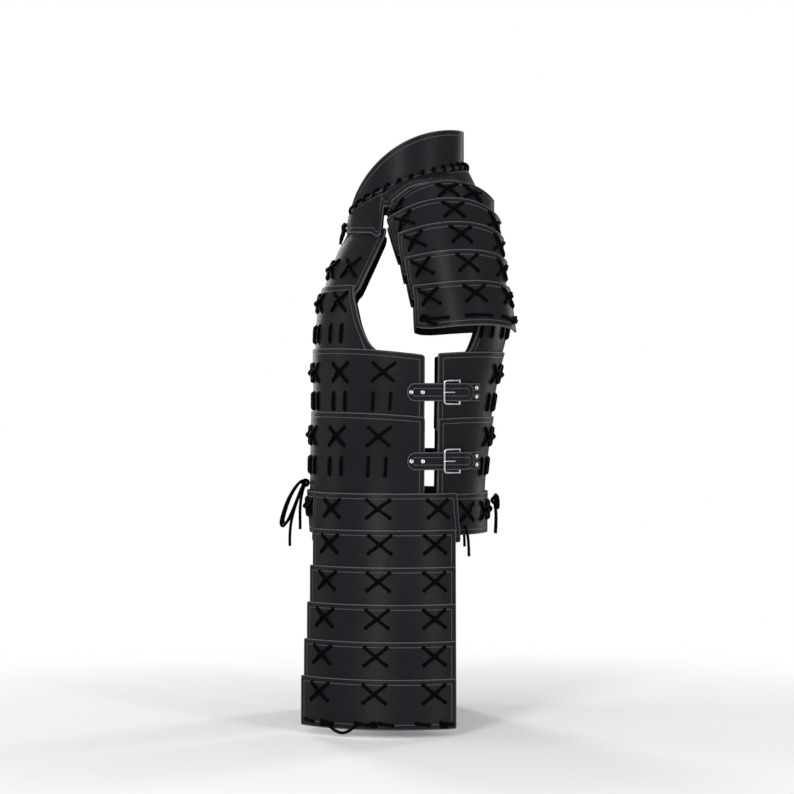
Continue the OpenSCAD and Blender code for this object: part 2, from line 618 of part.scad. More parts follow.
// A round cord swept along hand-chosen points
module cord(points, sides = 8) {
    n = len(points);
    function along(i) = unit(points[min(i + 1, n - 1)] - points[max(i - 1, 0)]);
    rings = [for (i = [0:n - 1])
        let (t = along(i), b = unit(cross(t, [0.2, 1, 0.1])), c = cross(b, t))
        for (j = [0:sides - 1]) points[i] + cord_r * (cos(360 * j / sides) * c + sin(360 * j / sides) * b)];
    polyhedron(points = rings, faces = concat(
        [[for (j = [0:sides - 1]) j]], [[for (j = [sides - 1:-1:0]) (n - 1) * sides + j]],
        [for (i = [0:n - 2]) for (j = [0:sides - 1]) let (k = (j + 1) % sides)
            [i * sides + j, (i + 1) * sides + j, (i + 1) * sides + k, i * sides + k]]), convexity = 8);
}
// The bow at the front of the waist: two loops and two tails, and the knot's own turn
bow_z = -528;
bow_y = -165;
front_loop = [[7, -168, -526], [20, -175, -529], [34, -184, -540], [46, -194, -558], [52, -202, -580],
    [48, -206, -597], [38, -203, -604], [30, -196, -596], [25, -188, -580], [19, -180, -560],
    [12, -173, -542], [7, -168, -532]];
front_tail = [[4, -170, -537], [8, -176, -552], [11, -184, -575], [12, -190, -600], [11, -192, -622],
    [10, -192, -640]];
short_tail = [[-4, -168, -537], [-9, -172, -552], [-13, -175, -575], [-14, -175, -612]];
module front_waist_tie() color(black_cord) {
    left_and_right() cord(front_loop);
    cord(front_tail);
    cord(short_tail);
    knot(bow_y, bow_z);
}
module knot(y, z) {
    translate([0, y, z - 2]) rotate([0, 90, 0]) translate([0, 0, -4.4]) {
        rotate_extrude() translate([5, 0]) circle(cord_r);
        translate([0, 0, 8.8]) rotate_extrude() translate([5, 0]) circle(cord_r);
    }
    translate([0, y, z - 2]) rotate([0, 90, 0]) cylinder(r = 3, h = 13, center = true);
}
back_loop = [[7, 165, -555.5], [18, 168, -551.5], [29, 170, -553.5], [35, 171, -561.5], [30, 171, -571.5],
    [19, 169, -572.5], [7, 166, -565.5]];
back_tail = [[4, 166, -566.5], [9, 168, -582], [13, 168, -602], [14, 167, -618]];
hip_tail = [[139.9, 111.1, -598], [141.9, 114, -610], [142.9, 116, -626], [142.9, 117, -650]];
module back_waist_tie() color(black_cord) {
    left_and_right() {
        cord(back_loop);
        cord(back_tail);
        cord(hip_tail);
    }
    knot(166, -558.5);
}

collar();
collar_yoke();
collar_lacing();
front_lame(0);  // front_lame_1
front_lame(1);  // front_lame_2
front_lame(2);  // front_lame_3
front_lame(3);  // front_lame_4
front_lame(4);  // front_lame_5
back_lame(0);  // back_lame_1
back_lame(1);  // back_lame_2
back_lame(2);  // back_lame_3
back_lame(3);  // back_lame_4
back_lame(4);  // back_lame_5
front_lacing();
back_lacing();
shoulder_hip_lacing();
side_straps();
side_buckles();
front_waist_tie();
back_waist_tie();
hip_lame();  // left_hip_lame
mirror([1, 0, 0]) hip_lame();  // right_hip_lame
guard_lame(0);  // left_guard_lame_1
mirror([1, 0, 0]) guard_lame(0);  // right_guard_lame_1
for (k = [1:4]) {
    guard_lame(k);
    guard_lacing(k);
    mirror([1, 0, 0]) guard_lame(k);
    mirror([1, 0, 0]) guard_lacing(k);
}
for (k = [1:5]) {
    tasset_lame(k);
    tasset_lacing(k);
    mirror([1, 0, 0]) tasset_lame(k);
    mirror([1, 0, 0]) tasset_lacing(k);
}
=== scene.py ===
# Laced leather armour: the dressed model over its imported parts, in metres
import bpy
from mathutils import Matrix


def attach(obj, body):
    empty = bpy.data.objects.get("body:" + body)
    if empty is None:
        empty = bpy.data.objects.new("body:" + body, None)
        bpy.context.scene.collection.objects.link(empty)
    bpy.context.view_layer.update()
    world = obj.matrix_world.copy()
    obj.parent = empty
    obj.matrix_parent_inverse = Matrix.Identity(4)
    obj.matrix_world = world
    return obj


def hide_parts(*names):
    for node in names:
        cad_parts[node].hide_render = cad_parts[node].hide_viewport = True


bl_info = {
    "name": "Laced leather armour",
    "version": (1, 0, 0),
    "blender": (4, 5, 0),
    "location": "3D View > Sidebar > Armour",
    "description": "Builds a laced leather armour with collar, cuirass, shoulder guards and tassets",
    "category": "Object",
}

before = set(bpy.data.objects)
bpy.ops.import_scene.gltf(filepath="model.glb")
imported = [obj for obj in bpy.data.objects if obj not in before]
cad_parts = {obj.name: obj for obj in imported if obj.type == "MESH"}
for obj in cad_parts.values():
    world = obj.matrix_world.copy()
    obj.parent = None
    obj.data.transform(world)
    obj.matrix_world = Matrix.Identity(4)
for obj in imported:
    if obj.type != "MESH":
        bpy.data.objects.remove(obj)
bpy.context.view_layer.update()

import math

import bmesh
import bpy
from bpy.props import FloatProperty, FloatVectorProperty, PointerProperty
from mathutils import Vector

# Sizes of the leather and the lacing, in millimetres and degrees as a pattern cutter writes them
LEATHER = 3.5
LAP_STEP = 4.3
CORD_RADIUS = 2.6
STRAND_RISE, CROSSING_RISE = 2.35, 4.7
HEM_Z = -614
# Degrees in a radian, rounded as in the parts
RADIAN = 57.3

# The cuirass: its plan at each height, and the edges and lacing of its front and back lames
HALF_WIDTHS = [(-614, 186), (-528, 182), (-400, 192), (-262, 200), (-200, 189), (-150, 168), (-104, 138), (-40, 108)]
FRONT_REACH = [(-614, 158), (-528, 156), (-400, 150), (-274, 146), (-210, 136), (-168, 124), (-126, 107),
               (-104, 95), (-40, 58)]
BACK_REACH = [(-614, 153), (-528, 148), (-400, 161), (-340, 170), (-262, 186), (-190, 182), (-120, 167), (-40, 138)]
FRONT_TOPS = [-92, -190, -297, -405, -542]
BACK_TOPS = [-42, -190, -303, -414, -544]
FRONT_DIPS = [0, 0, 13, 9, 0, 0]
BACK_DIPS = [24, 0, 4, 3, 0, 0]
LAME_LEANS = [0.8, 5.0, 5.0, 5.0, 6.0]
NECK_EDGE = [(-215, -80), (-204, -76), (-197, -69), (-104, -25), (-60, -20)]
FRONT_ARM_EDGE = [(-310, 0), (-291, -40), (-267, -59), (-227, -72), (-188, -74), (-104, -25), (-60, -20)]
BACK_ARM_EDGE = [(-322, 90), (-306, 112), (-282, 126), (-240, 136), (-188, 130), (-110, 104), (-30, 96)]
FRONT_COLUMNS = [[0, 17, 43], [0, 15, 41.5], [0, 18, 48, 78], [0, 18, 48, 78], [0, 18]]
BACK_COLUMNS = [[0, 18], [0, 18, 42], [0, 20], [0, 20], [0, 20, 43]]
FRONT_CROSS_Z = [-160, -218, -338, -446, -570]
BACK_CROSS_Z = [-120, -222, -340, -448, -575]
FRONT_STITCH_Z = [None, -272, -387, -497, None]
BACK_STITCH_Z = [None, -264, -389, -499, None]

# The collar: its turn at the throat, its oval, and the height and rise of its base and its rim
COLLAR_END = 168
COLLAR_HALF_W, COLLAR_HALF_D, COLLAR_MID_Y = 88, 99.5, 12.5
COLLAR_BASE, COLLAR_RIM = (-78, 92), (-64, 147)
WHIP_PITCH = 18.4
# The yoke: how far it laps over the collar, and its outer edge and bulge against the turn from the back
YOKE_LAP = 7
YOKE_EDGE_Z = [(0, -52), (30, -58), (45, -66), (58, -27), (70, -22), (80, -21.5), (90, -23), (98, -29), (106, -41),
               (112, -56), (115, -66), (118, -103), (121, -107), (127, -100), (150, -97), (168, -96)]
YOKE_EDGE_OUT = [(45, 1), (58, 29), (70, 29), (90, 29), (98, 25), (106, 19), (112, 7), (115, -8), (118, 1)]
YOKE_BULGE = [(45, 5), (58, 8), (98, 8), (106, 4), (112, 2), (118, 3), (168, 6)]

# The shoulder guards: cones about one slanting axis, which the turns go about
GUARD_X, GUARD_Y, GUARD_Z = 137, 63, -14
GUARD_H, GUARD_PITCH = 77, 54
GUARD_TURNS = [50, 40.5, 29.8, 22.3, 15.8]
GUARD_ROOM = [0, 1.3, 0.6, 0.3, 0]
GUARD_RADII = [101, 100, 98, 95, 90]
GUARD_SPANS = [66, 74, 76, 78, 84]
GUARD_TUCKS = [5.4, 6.8, 5.4, 4.6]
# Where each lame's front end is cut, at its top and bottom edge
GUARD_FRONTS = [(-66, -66), (-64, -74), (-53, -70), (-51, -67), (-50, -65)]
GUARD_COLUMNS = [[-48, 9, 36], [-43, 11, 62], [-36, 14, 65], [-34, 16, 65], [-33, 18, 67]]
GUARD_CROSS_H, GUARD_HEM_H = -22, -60
GUARD_HEM = [(-47, -17), (4, 33), (48, 66)]
GUARD_SLOPE = math.radians(10)
# How far a guard lame is cut above or below its plain band, against its turn
GUARD_LIFT = [(-84, 40), (-64, 29), (-50, 19), (-30, 10), (2, 2.5), (40, -1), (84, -2)]

# The tassets: the fixed hip lame, and lames stepped out about one upright axis inside it
HIP_TOP = -542
HIP_OFF = 10.3
HIP_COLUMNS = [49, 80, 112.3]
TASSET_AXIS = (40, -4)
TASSET_H, TASSET_PITCH = 83, 61.5
TASSET_SLOPE = math.tan(math.radians(4))
TASSET_FRONT, TASSET_REAR, TASSET_STEP = 143.5, 94, 4.7
TASSET_TOP = HEM_Z + 11
TASSET_R1 = 165.537
TASSET_CROSS_H, TASSET_HEM_H = -24, -74

# The side straps: levels, the buckle's bar and pin from the middle plane, and rises over the plates
STRAP_LEVELS = [-372, -488]
PLATE_RISE = 3.2
BAR_Y, PIN_Y, PIN_RISE = 71, 95, 5.4
STRAP_FRONT_Y, STRAP_END_Y, CHAPE_END_Y = 12, 115, 128
BILLET_RISE = [(12, 0.4), (75, 0.4), (91.6, 10.8), (99, 10.8), (109, 7.3), (115, 7.7), (130, 7.7)]
STRAP_HALF, STRAP_THICK = 15, 2.6
CHAPE_MIDDLE, CHAPE_HALF, CHAPE_THICK, CHAPE_LOOP = 8.8, 6.1, 2.4, 4.7
HALF_FRAME = [(PIN_Y, 19.5), (PIN_Y - 8, 19.5), (BAR_Y + 4, 19.5), (BAR_Y + 1.2, 18.3), (BAR_Y, 15.5)]
FRAME_WIRE, PIN_WIRE, PRONG_WIRE = 1.9, 1.7, 1.35
RIVET_YS = [18.5, 36.8]
RIVET_HEAD = [(0.01, 0.5), (1.1, 0.55), (1.6, 1.5), (2.3, 1.75), (3.1, 1.5), (3.8, 0.8), (4.0, 0.0)]

# Routes of the loose ties, in millimetres
FRONT_LOOP = [(7, -168, -526), (20, -175, -529), (34, -184, -540), (46, -194, -558), (52, -202, -580),
              (48, -206, -597), (38, -203, -604), (30, -196, -596), (25, -188, -580), (19, -180, -560),
              (12, -173, -542), (7, -168, -532)]
FRONT_TAIL = [(4, -170, -537), (8, -176, -552), (11, -184, -575), (12, -190, -600), (11, -192, -622),
              (10, -192, -640)]
SHORT_TAIL = [(-4, -168, -537), (-9, -172, -552), (-13, -175, -575), (-14, -175, -612)]
BACK_LOOP = [(7, 165, -555.5), (18, 168, -551.5), (29, 170, -553.5), (35, 171, -561.5), (30, 171, -571.5),
             (19, 169, -572.5), (7, 166, -565.5)]
BACK_TAIL = [(4, 166, -566.5), (9, 168, -582), (13, 168, -602), (14, 167, -618)]
HIP_TAIL = [(139.9, 111.1, -598), (141.9, 114, -610), (142.9, 116, -626), (142.9, 117, -650)]
THROAT_LOOP = [(10, -97, -78), (17, -97, -84), (18, -98.5, -94), (13, -100.5, -99), (7, -99.5, -92)]
THROAT_END = [(1, -96, -86), (3.2, -99.5, -93), (5, -102.5, -102), (5.5, -104, -113)]


# Shapes of the armour

def lookup(x, table):
    """Value of a table at x, straight between its rows."""
    if x <= table[0][0]:
        return table[0][1]
    for (x0, y0), (x1, y1) in zip(table, table[1:]):
        if x <= x1:
            return y0 + (y1 - y0) * (x - x0) / (x1 - x0)
    return table[-1][1]


def eased(x, table):
    """Value of a table at x on a smooth curve through its rows."""
    if x <= table[0][0]:
        return table[0][1]
    if x >= table[-1][0]:
        return table[-1][1]
    i = max(n for n in range(len(table) - 1) if table[n][0] <= x)

    def slope(n):
        low, high = max(n - 1, 0), min(n + 1, len(table) - 1)
        return (table[high][1] - table[low][1]) / (table[high][0] - table[low][0])

    (x0, y0), (x1, y1) = table[i], table[i + 1]
    w, t = x1 - x0, (x - x0) / (x1 - x0)
    return ((2 * t ** 3 - 3 * t ** 2 + 1) * y0 + (t ** 3 - 2 * t ** 2 + t) * w * slope(i)
            + (3 * t ** 2 - 2 * t ** 3) * y1 + (t ** 3 - t ** 2) * w * slope(i + 1))


def powered(v):
    return math.copysign(abs(v) ** (2 / 2.2), v)


def mid_y(z):
    return (eased(z, BACK_REACH) - eased(z, FRONT_REACH)) / 2


def half_depth(z):
    return (eased(z, BACK_REACH) + eased(z, FRONT_REACH)) / 2


def body_point(turn, z, off):
    """A point on the cuirass: turn runs from the front past the left side to the back."""
    t = math.radians(turn)
    return Vector(((eased(z, HALF_WIDTHS) + off) * powered(math.sin(t)),
                   mid_y(z) - (half_depth(z) + off) * powered(math.cos(t)), z))


def turn_at(y, z):
    u = (mid_y(z) - y) / half_depth(z)
    return math.degrees(math.acos(max(-1, min(1, math.copysign(abs(u) ** 1.1, u)))))


def lame_bottom(tops, k):
    return tops[k + 1] - 22 if k < 4 else HEM_Z


def lame_lean(tops, k, z):
    bottom = lame_bottom(tops, k)
    return LAME_LEANS[k] * (z - bottom) / (tops[k] - bottom)


def cuirass_face(tops, k):
    return lambda turn, z: body_point(turn, z, lame_lean(tops, k, z))


def front_edge_turn(k, z):
    return turn_at(lookup(z, NECK_EDGE) if k == 0 else eased(z, FRONT_ARM_EDGE) if k == 1 else 41, z)


def back_edge_turn(k, z):
    return turn_at(eased(z, BACK_ARM_EDGE) if k < 2 else 63, z)


def collar_point(turn, up, off):
    """A point on the collar: turn runs from the back, and up from the base to the rim."""
    t = math.radians(turn)
    rise = (1 + math.cos(t)) / 2
    base = COLLAR_BASE[0] + COLLAR_BASE[1] * rise ** 0.55
    rim = COLLAR_RIM[0] + COLLAR_RIM[1] * math.sin(math.pi / 2 * rise ** 0.62)
    return Vector(((COLLAR_HALF_W - 8 * up + off) * math.sin(t), COLLAR_MID_Y + (COLLAR_HALF_D + off) * math.cos(t),
                   base + up * (rim - base)))


def yoke_seam(turn):
    """Where the yoke's inner edge lies on the collar."""
    return collar_point(turn, 0, LAP_STEP) + Vector((0, 0, YOKE_LAP))


def guard_taper(k):
    return (GUARD_RADII[k] - GUARD_RADII[k + 1] + LEATHER + GUARD_TUCKS[k]) / GUARD_PITCH if k < 4 else 0.05


def guard_top(k):
    """Middle of a guard lame's top edge, on its outer face, as x and z in the guard's plane."""
    if k == 0:
        return GUARD_X, GUARD_Z
    x, z = guard_top(k - 1)
    a = math.radians(GUARD_TURNS[k - 1])
    plate = [GUARD_TURNS[n] - math.degrees(math.atan(guard_taper(n))) for n in (k - 1, k)]
    clear = 0.8 + GUARD_ROOM[k] + (GUARD_H - GUARD_PITCH) * max(0, math.tan(math.radians(plate[0] - plate[1])))
    out = LEATHER + clear - GUARD_PITCH * guard_taper(k - 1)
    return (x + GUARD_PITCH * math.sin(a) + out * math.cos(a), z - GUARD_PITCH * math.cos(a) + out * math.sin(a))


GUARD_PLACES = [guard_top(k) for k in range(5)]


def guard_point(k, turn, h):
    """A point on a left guard lame: turn goes about the guard's axis and h up from the plain top edge."""
    r = GUARD_RADII[k] + h * guard_taper(k)
    # The last lame flares over its plain edge, and so clears the lame above when it swings
    if k == 4 and h > 0:
        r += 3.0 * (1 - math.exp(-h / 8))
    x = r * math.cos(math.radians(turn)) - GUARD_RADII[k]
    t = math.radians(GUARD_TURNS[k])
    ox, oz = GUARD_PLACES[k]
    px, py = ox + x * math.cos(t) - h * math.sin(t), r * math.sin(math.radians(turn))
    pz = oz + x * math.sin(t) + h * math.cos(t) - GUARD_Z
    return Vector((px, GUARD_Y - pz * math.sin(GUARD_SLOPE) + py * math.cos(GUARD_SLOPE),
                   GUARD_Z + pz * math.cos(GUARD_SLOPE) + py * math.sin(GUARD_SLOPE)))


def guard_lift(k, turn):
    return eased(turn, GUARD_LIFT) * (0.45 if k == 0 else 1)


def guard_face(k):
    return lambda turn, h: guard_point(k, turn, h + guard_lift(k, turn))


def under_first_guard(p):
    """Whether a point lies where the first guard lame is, or outside it."""
    py = (p.y - GUARD_Y) * math.cos(GUARD_SLOPE) + (p.z - GUARD_Z) * math.sin(GUARD_SLOPE)
    pz = -(p.y - GUARD_Y) * math.sin(GUARD_SLOPE) + (p.z - GUARD_Z) * math.cos(GUARD_SLOPE)
    t = math.radians(GUARD_TURNS[0])
    dx = abs(p.x) - GUARD_X
    u = dx * math.cos(t) + pz * math.sin(t) + GUARD_RADII[0]
    h = -dx * math.sin(t) + pz * math.cos(t)
    turn = math.degrees(math.atan2(py, u))
    return (-GUARD_H - 2 < h - guard_lift(0, turn) < 1 and abs(turn) < GUARD_SPANS[0] + 2
            and math.hypot(u, py) > GUARD_RADII[0] - LEATHER - 0.4 + h * guard_taper(0))


def hip_face(turn, z):
    low = max(z, HEM_Z)
    p = body_point(turn, low, HIP_OFF + 3 * (HIP_TOP - z) / TASSET_H)
    p.z -= low - z
    return p


HIP_TURNS = (turn_at(-TASSET_FRONT, HEM_Z) + 4, turn_at(TASSET_REAR, HEM_Z))


def tasset_radius(k):
    return TASSET_R1 + (k - 1) * (TASSET_PITCH * TASSET_SLOPE + LAP_STEP)


def tasset_face(k):
    def face(turn, h):
        r, t = tasset_radius(k) - h * TASSET_SLOPE, math.radians(turn)
        return Vector((TASSET_AXIS[0] + r * math.cos(t), TASSET_AXIS[1] + r * math.sin(t),
                       TASSET_TOP - (k - 1) * TASSET_PITCH + h))
    return face


def tasset_turns(k, h=0):
    """Turns of a tasset lame's front and rear edge, which are upright as seen from the side."""
    r = tasset_radius(k) - h * TASSET_SLOPE
    return (-math.degrees(math.asin((TASSET_FRONT + k * TASSET_STEP + TASSET_AXIS[1]) / r)),
            math.degrees(math.asin((TASSET_REAR - TASSET_AXIS[1]) / r)))


def side_point(y, z, rise):
    return body_point(turn_at(y, z), z, PLATE_RISE + rise)


# Where the lacing goes: strands as start, end and whether they cross over another

def half_turn(width, z):
    return width / 2 / (lookup(z, HALF_WIDTHS) * 0.92) * RADIAN


def cross(u, v, du, dv):
    return [((u - du, v + dv), (u + du, v - dv), 0), ((u - du, v - dv), (u + du, v + dv), 1)]


def body_strands(columns, z, stitch_z, middle):
    strands = []
    for column in sorted({s * c for c in columns for s in (-1, 1)}):
        strands += cross(middle + column, z, half_turn(40, z), 15.5)
        if stitch_z is not None:
            for s in (-1, 1):
                u = middle + column + s * half_turn(32, z)
                strands.append(((u, stitch_z + 14.5), (u, stitch_z - 14.5), 0))
    return strands


def guard_strands(k):
    du = 17 / GUARD_RADII[k] * RADIAN
    strands = [s for a in GUARD_COLUMNS[k] for s in cross(a, GUARD_CROSS_H, du, 13)]
    if k == 4:
        strands += [((a, GUARD_HEM_H), (b, GUARD_HEM_H - 1), 0) for a, b in GUARD_HEM]
    return strands


def tasset_column(k, i):
    front, rear = tasset_turns(k)
    mm = RADIAN / tasset_radius(k)
    return (front + 48.5 * mm, (front + rear) / 2 + 5 * mm, rear - 41 * mm)[i]


def tasset_strands(k):
    du = 18.5 / tasset_radius(k) * RADIAN
    strands = [s for i in range(3) for s in cross(tasset_column(k, i), TASSET_CROSS_H, du, 14.5)]
    if k == 5:
        for i in range(3):
            for s in (-1, 1):
                u = tasset_column(k, i) + s * du * 1.1
                strands.append(((u - du * 0.55, TASSET_HEM_H + 2), (u + du * 0.55, TASSET_HEM_H - 1), 0))
    return strands


def hip_strands():
    return [s for u in HIP_COLUMNS for s in cross(u, HIP_TOP - 26, half_turn(37, HIP_TOP), 14.5)]


def facing(face, u, v):
    e = 0.05
    return (face(u + e, v) - face(u - e, v)).cross(face(u, v + e) - face(u, v - e)).normalized()


def strand_route(face, start, end, over):
    """Points of a strand that comes out of one hole, lies on the leather and goes into the other."""
    length = (face(*end) - face(*start)).length
    dips = [(0, -3.6), (0, -1.2), (0.5, 0.4), (1.5, 1.6), (3.0, 2.2)]
    steps = max(2, round((length - 12) / 3.6))
    runs = [6 + (length - 12) * i / steps for i in range(steps + 1)]
    rows = dips + [(s, STRAND_RISE + over * CROSSING_RISE * math.exp(-((s - length / 2) / 7) ** 2)) for s in runs]
    rows += [(length - s, h) for s, h in reversed(dips)]
    points = []
    for s, h in rows:
        v = s / length
        u, w = start[0] + (end[0] - start[0]) * v, start[1] + (end[1] - start[1]) * v
        points.append(face(u, w) + facing(face, u, w) * h)
    return points


def overhand(face, u, v):
    """A small overhand knot, lying on the leather at a place."""
    out = facing(face, u, v)
    across = Vector((-out.y, out.x, 0)).normalized()
    up = out.cross(across)
    return [face(u, v) + out * (CORD_RADIUS + 1.8 * math.sin(1.5 * t)) + across * 4.6 * math.cos(t)
            + up * 3.4 * math.sin(2 * t) for t in (math.tau * n / 22 for n in range(23))]


def laid(face, places):
    """A loose end or loop on the leather, through places with their height over it."""
    return smooth_route([face(u, v) + facing(face, u, v) * h for u, v, h in places], 2)


def guard_hem_knots(face):
    """The knots at both ends of a shoulder guard's hem lacing, with the front one's short end."""
    end = [(-46, -60, 3.0), (-41, -65, 3.4), (-35, -70, 3.0), (-30, -69, 2.7)]
    return [overhand(face, u, v) for u, v in ((-48, -60), (-45.5, -57), (70, -62), (74, -58))] + [laid(face, end)]


def tasset_hem_knots(face):
    """The knots and the slack loop of the last tasset lame's hem lacing."""
    knots = [overhand(face, tasset_column(5, i) + shift, h) for i, (shift, h) in
             enumerate(((3.6, -75), (0, -74), (4.2, -76)))]
    slack = [(5, -74, 2.6), (8, -80, 3.4), (11.5, -87, 3.0), (15, -89, 2.7), (18.5, -84, 3.2), (21, -76, 3.0),
             (22, -73, -1.5)]
    return knots + [laid(face, [(tasset_column(5, 0) + shift, v, h) for shift, v, h in slack])]


def smooth_route(points, step=3.0):
    """Points along a smooth curve through a route's given points, about a step apart."""
    p = [Vector(q) for q in points]
    p = [2 * p[0] - p[1]] + p + [2 * p[-1] - p[-2]]
    line = []
    for i in range(1, len(p) - 2):
        n = max(2, round((p[i + 1] - p[i]).length / step))
        for j in range(n):
            t = j / n
            line.append(0.5 * (2 * p[i] + (p[i + 1] - p[i - 1]) * t
                               + (2 * p[i - 1] - 5 * p[i] + 4 * p[i + 1] - p[i + 2]) * t ** 2
                               + (3 * p[i] - p[i - 1] - 3 * p[i + 1] + p[i + 2]) * t ** 3))
    return line + [p[-2]]


def route_length(route):
    return sum((b - a).length for a, b in zip(route, route[1:]))


def wrap_route(centre, radius, drift):
    """One upright wrap of cord round a tie, which drifts sideways into the next."""
    x, y, z = centre
    return [Vector((x + drift * i / 28, y + radius * math.cos(math.tau * i / 28),
                    z + radius * math.sin(math.tau * i / 28))) for i in range(29)]


def mirrored(points):
    return [Vector((-q[0], q[1], q[2])) for q in points]


# Making pieces

def linear(code):
    """An sRGB hex colour as Blender's linear values."""
    values = [int(code[i:i + 2], 16) / 255 for i in (1, 3, 5)]
    return tuple(v / 12.92 if v <= 0.04045 else ((v + 0.055) / 1.055) ** 2.4 for v in values) + (1.0,)


def add_piece(name, bm, materials, body, nodes):
    """Makes a bmesh an object that rides on a body and stands for its nodes."""
    mesh = bpy.data.meshes.new(name)
    bm.to_mesh(mesh)
    bm.free()
    for polygon in mesh.polygons:
        polygon.use_smooth = True
    for material in materials:
        mesh.materials.append(material)
    piece = bpy.data.objects.new(name, mesh)
    bpy.context.scene.collection.objects.link(piece)
    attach(piece, body)
    if nodes:
        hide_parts(*nodes)
    return piece


def leather_piece(name, place, cols, rows, body, nodes, thick=LEATHER, corner=5.0, edge=0.8):
    """Cuts a piece of leather whose outer face is place(a, b), with a across and b up, both from 0 to 1."""
    points = [[Vector(place(i / cols, j / rows)) for i in range(cols + 1)] for j in range(rows + 1)]

    def lengths(line):
        total, out = 0.0, [0.0]
        for p, q in zip(line, line[1:]):
            total += (q - p).length
            out.append(total)
        return out

    def lean(a, b):
        size = a.length * b.length
        return a.cross(b).length / size if size > 1e-9 else 1.0

    across = [lengths(row) for row in points]
    up = [lengths([points[j][i] for j in range(rows + 1)]) for i in range(cols + 1)]
    left, right, low, high = [], [], [], []
    for j in range(rows + 1):
        below, above = max(j - 1, 0), min(j + 1, rows)
        left.append(lean(points[j][1] - points[j][0], points[above][0] - points[below][0]))
        right.append(lean(points[j][-1] - points[j][-2], points[above][-1] - points[below][-1]))
    for i in range(cols + 1):
        before, after = max(i - 1, 0), min(i + 1, cols)
        low.append(lean(points[1][i] - points[0][i], points[0][after] - points[0][before]))
        high.append(lean(points[-1][i] - points[-2][i], points[-1][after] - points[-1][before]))

    bm = bmesh.new()
    edges = bm.verts.layers.float_vector.new("edge_mm")
    bmesh.ops.create_grid(bm, x_segments=cols, y_segments=rows, size=0.5)
    for v in bm.verts:
        i, j = round((v.co.x + 0.5) * cols), round((v.co.y + 0.5) * rows)
        side = min(across[j][i] * left[j], (across[j][-1] - across[j][i]) * right[j])
        end = min(up[i][j] * low[i], (up[i][-1] - up[i][j]) * high[i])
        v[edges] = (side, end, 0)
        v.co = points[j][i] / 1000
    if corner:
        ends = [v for v in bm.verts if len(v.link_edges) == 2]
        bmesh.ops.bevel(bm, geom=ends, offset=corner / 1000, offset_type="OFFSET", affect="VERTICES", segments=4,
                        profile=0.5, clamp_overlap=True, material=-1)
    piece = add_piece(name, bm, [finish("leather"), finish("flesh")], body, nodes)
    solid = piece.modifiers.new("Thickness", "SOLIDIFY")
    solid.thickness = thick / 1000
    solid.offset = -1
    solid.material_offset = 1
    bevel = piece.modifiers.new("Burnished edge", "BEVEL")
    bevel.width = edge / 1000
    bevel.segments = 3
    bevel.limit_method = "ANGLE"
    bevel.angle_limit = math.radians(50)
    bevel.harden_normals = True


def other_side(place):
    """The same outer face on the right side."""
    def flipped(a, b):
        p = place(1 - a, b)
        return Vector((-p.x, p.y, p.z))
    return flipped


def cord_mesh(bm, route, radius=CORD_RADIUS):
    """Adds a round cord along a route in millimetres to a bmesh, with a map in millimetres along it."""
    curve = bpy.data.curves.new("route", "CURVE")
    curve.dimensions = "3D"
    curve.bevel_depth = radius / 1000
    curve.bevel_resolution = 3
    curve.use_fill_caps = True
    spline = curve.splines.new("POLY")
    spline.points.add(len(route) - 1)
    for point, place in zip(spline.points, route):
        point.co = (place[0] / 1000, place[1] / 1000, place[2] / 1000, 1)
    holder = bpy.data.objects.new("route", curve)
    mesh = bpy.data.meshes.new_from_object(holder)
    length = route_length(route)
    for loop in mesh.uv_layers["UVMap"].data:
        loop.uv = (loop.uv[0] * length, loop.uv[1])
    bm.from_mesh(mesh)
    bpy.data.objects.remove(holder)
    bpy.data.curves.remove(curve)
    bpy.data.meshes.remove(mesh)


def cord_piece(name, bm, body, node):
    return add_piece(name, bm, [finish("cord")], body, (node,))


def hole_shadow_rings(name, places, body):
    """Adds a near black ring of painted shadow round a punched hole at each place and direction."""
    bm = bmesh.new()
    for place, out in places:
        ring = bmesh.ops.create_circle(bm, segments=12, radius=0.0021)["verts"]
        edges = list(dict.fromkeys(e for v in ring for e in v.link_edges))
        bmesh.ops.translate(bm, verts=ring, vec=(0, 0, 0.0001))
        every = list(ring)
        for radius, height in ((0.0029, 0.0001), (0.0033, 0.00034), (0.0039, -0.0001)):
            made = bmesh.ops.extrude_edge_only(bm, edges=edges)["geom"]
            verts = [g for g in made if isinstance(g, bmesh.types.BMVert)]
            edges = [g for g in made if isinstance(g, bmesh.types.BMEdge)]
            for v in verts:
                flat = Vector((v.co.x, v.co.y, 0)).normalized() * radius
                v.co = Vector((flat.x, flat.y, height))
            every += verts
        bmesh.ops.rotate(bm, verts=every, cent=(0, 0, 0), matrix=out.to_track_quat("Z", "Y").to_matrix())
        bmesh.ops.translate(bm, verts=every, vec=Vector(place) / 1000)
    bmesh.ops.recalc_face_normals(bm, faces=bm.faces)
    add_piece(name, bm, [finish("hole")], body, ())


def lacing_piece(name, faces_and_strands, body, node, flip=False, extra=()):
    """Makes all the cord of a body in one piece, and the rings of painted shadow round its holes in another."""
    cords, holes, routes = bmesh.new(), [], []
    for face, strands in faces_and_strands:
        for start, end, over in strands:
            routes.append(strand_route(face, start, end, over))
            for u, v in (start, end):
                hole = (face(u, v), facing(face, u, v))
                holes.append(mirrored(hole) if flip else hole)
    for route in routes + list(extra):
        cord_mesh(cords, mirrored(route) if flip else route)
    cord_piece(name, cords, body, node)
    hole_shadow_rings(name + "_hole_shadows", holes, body)


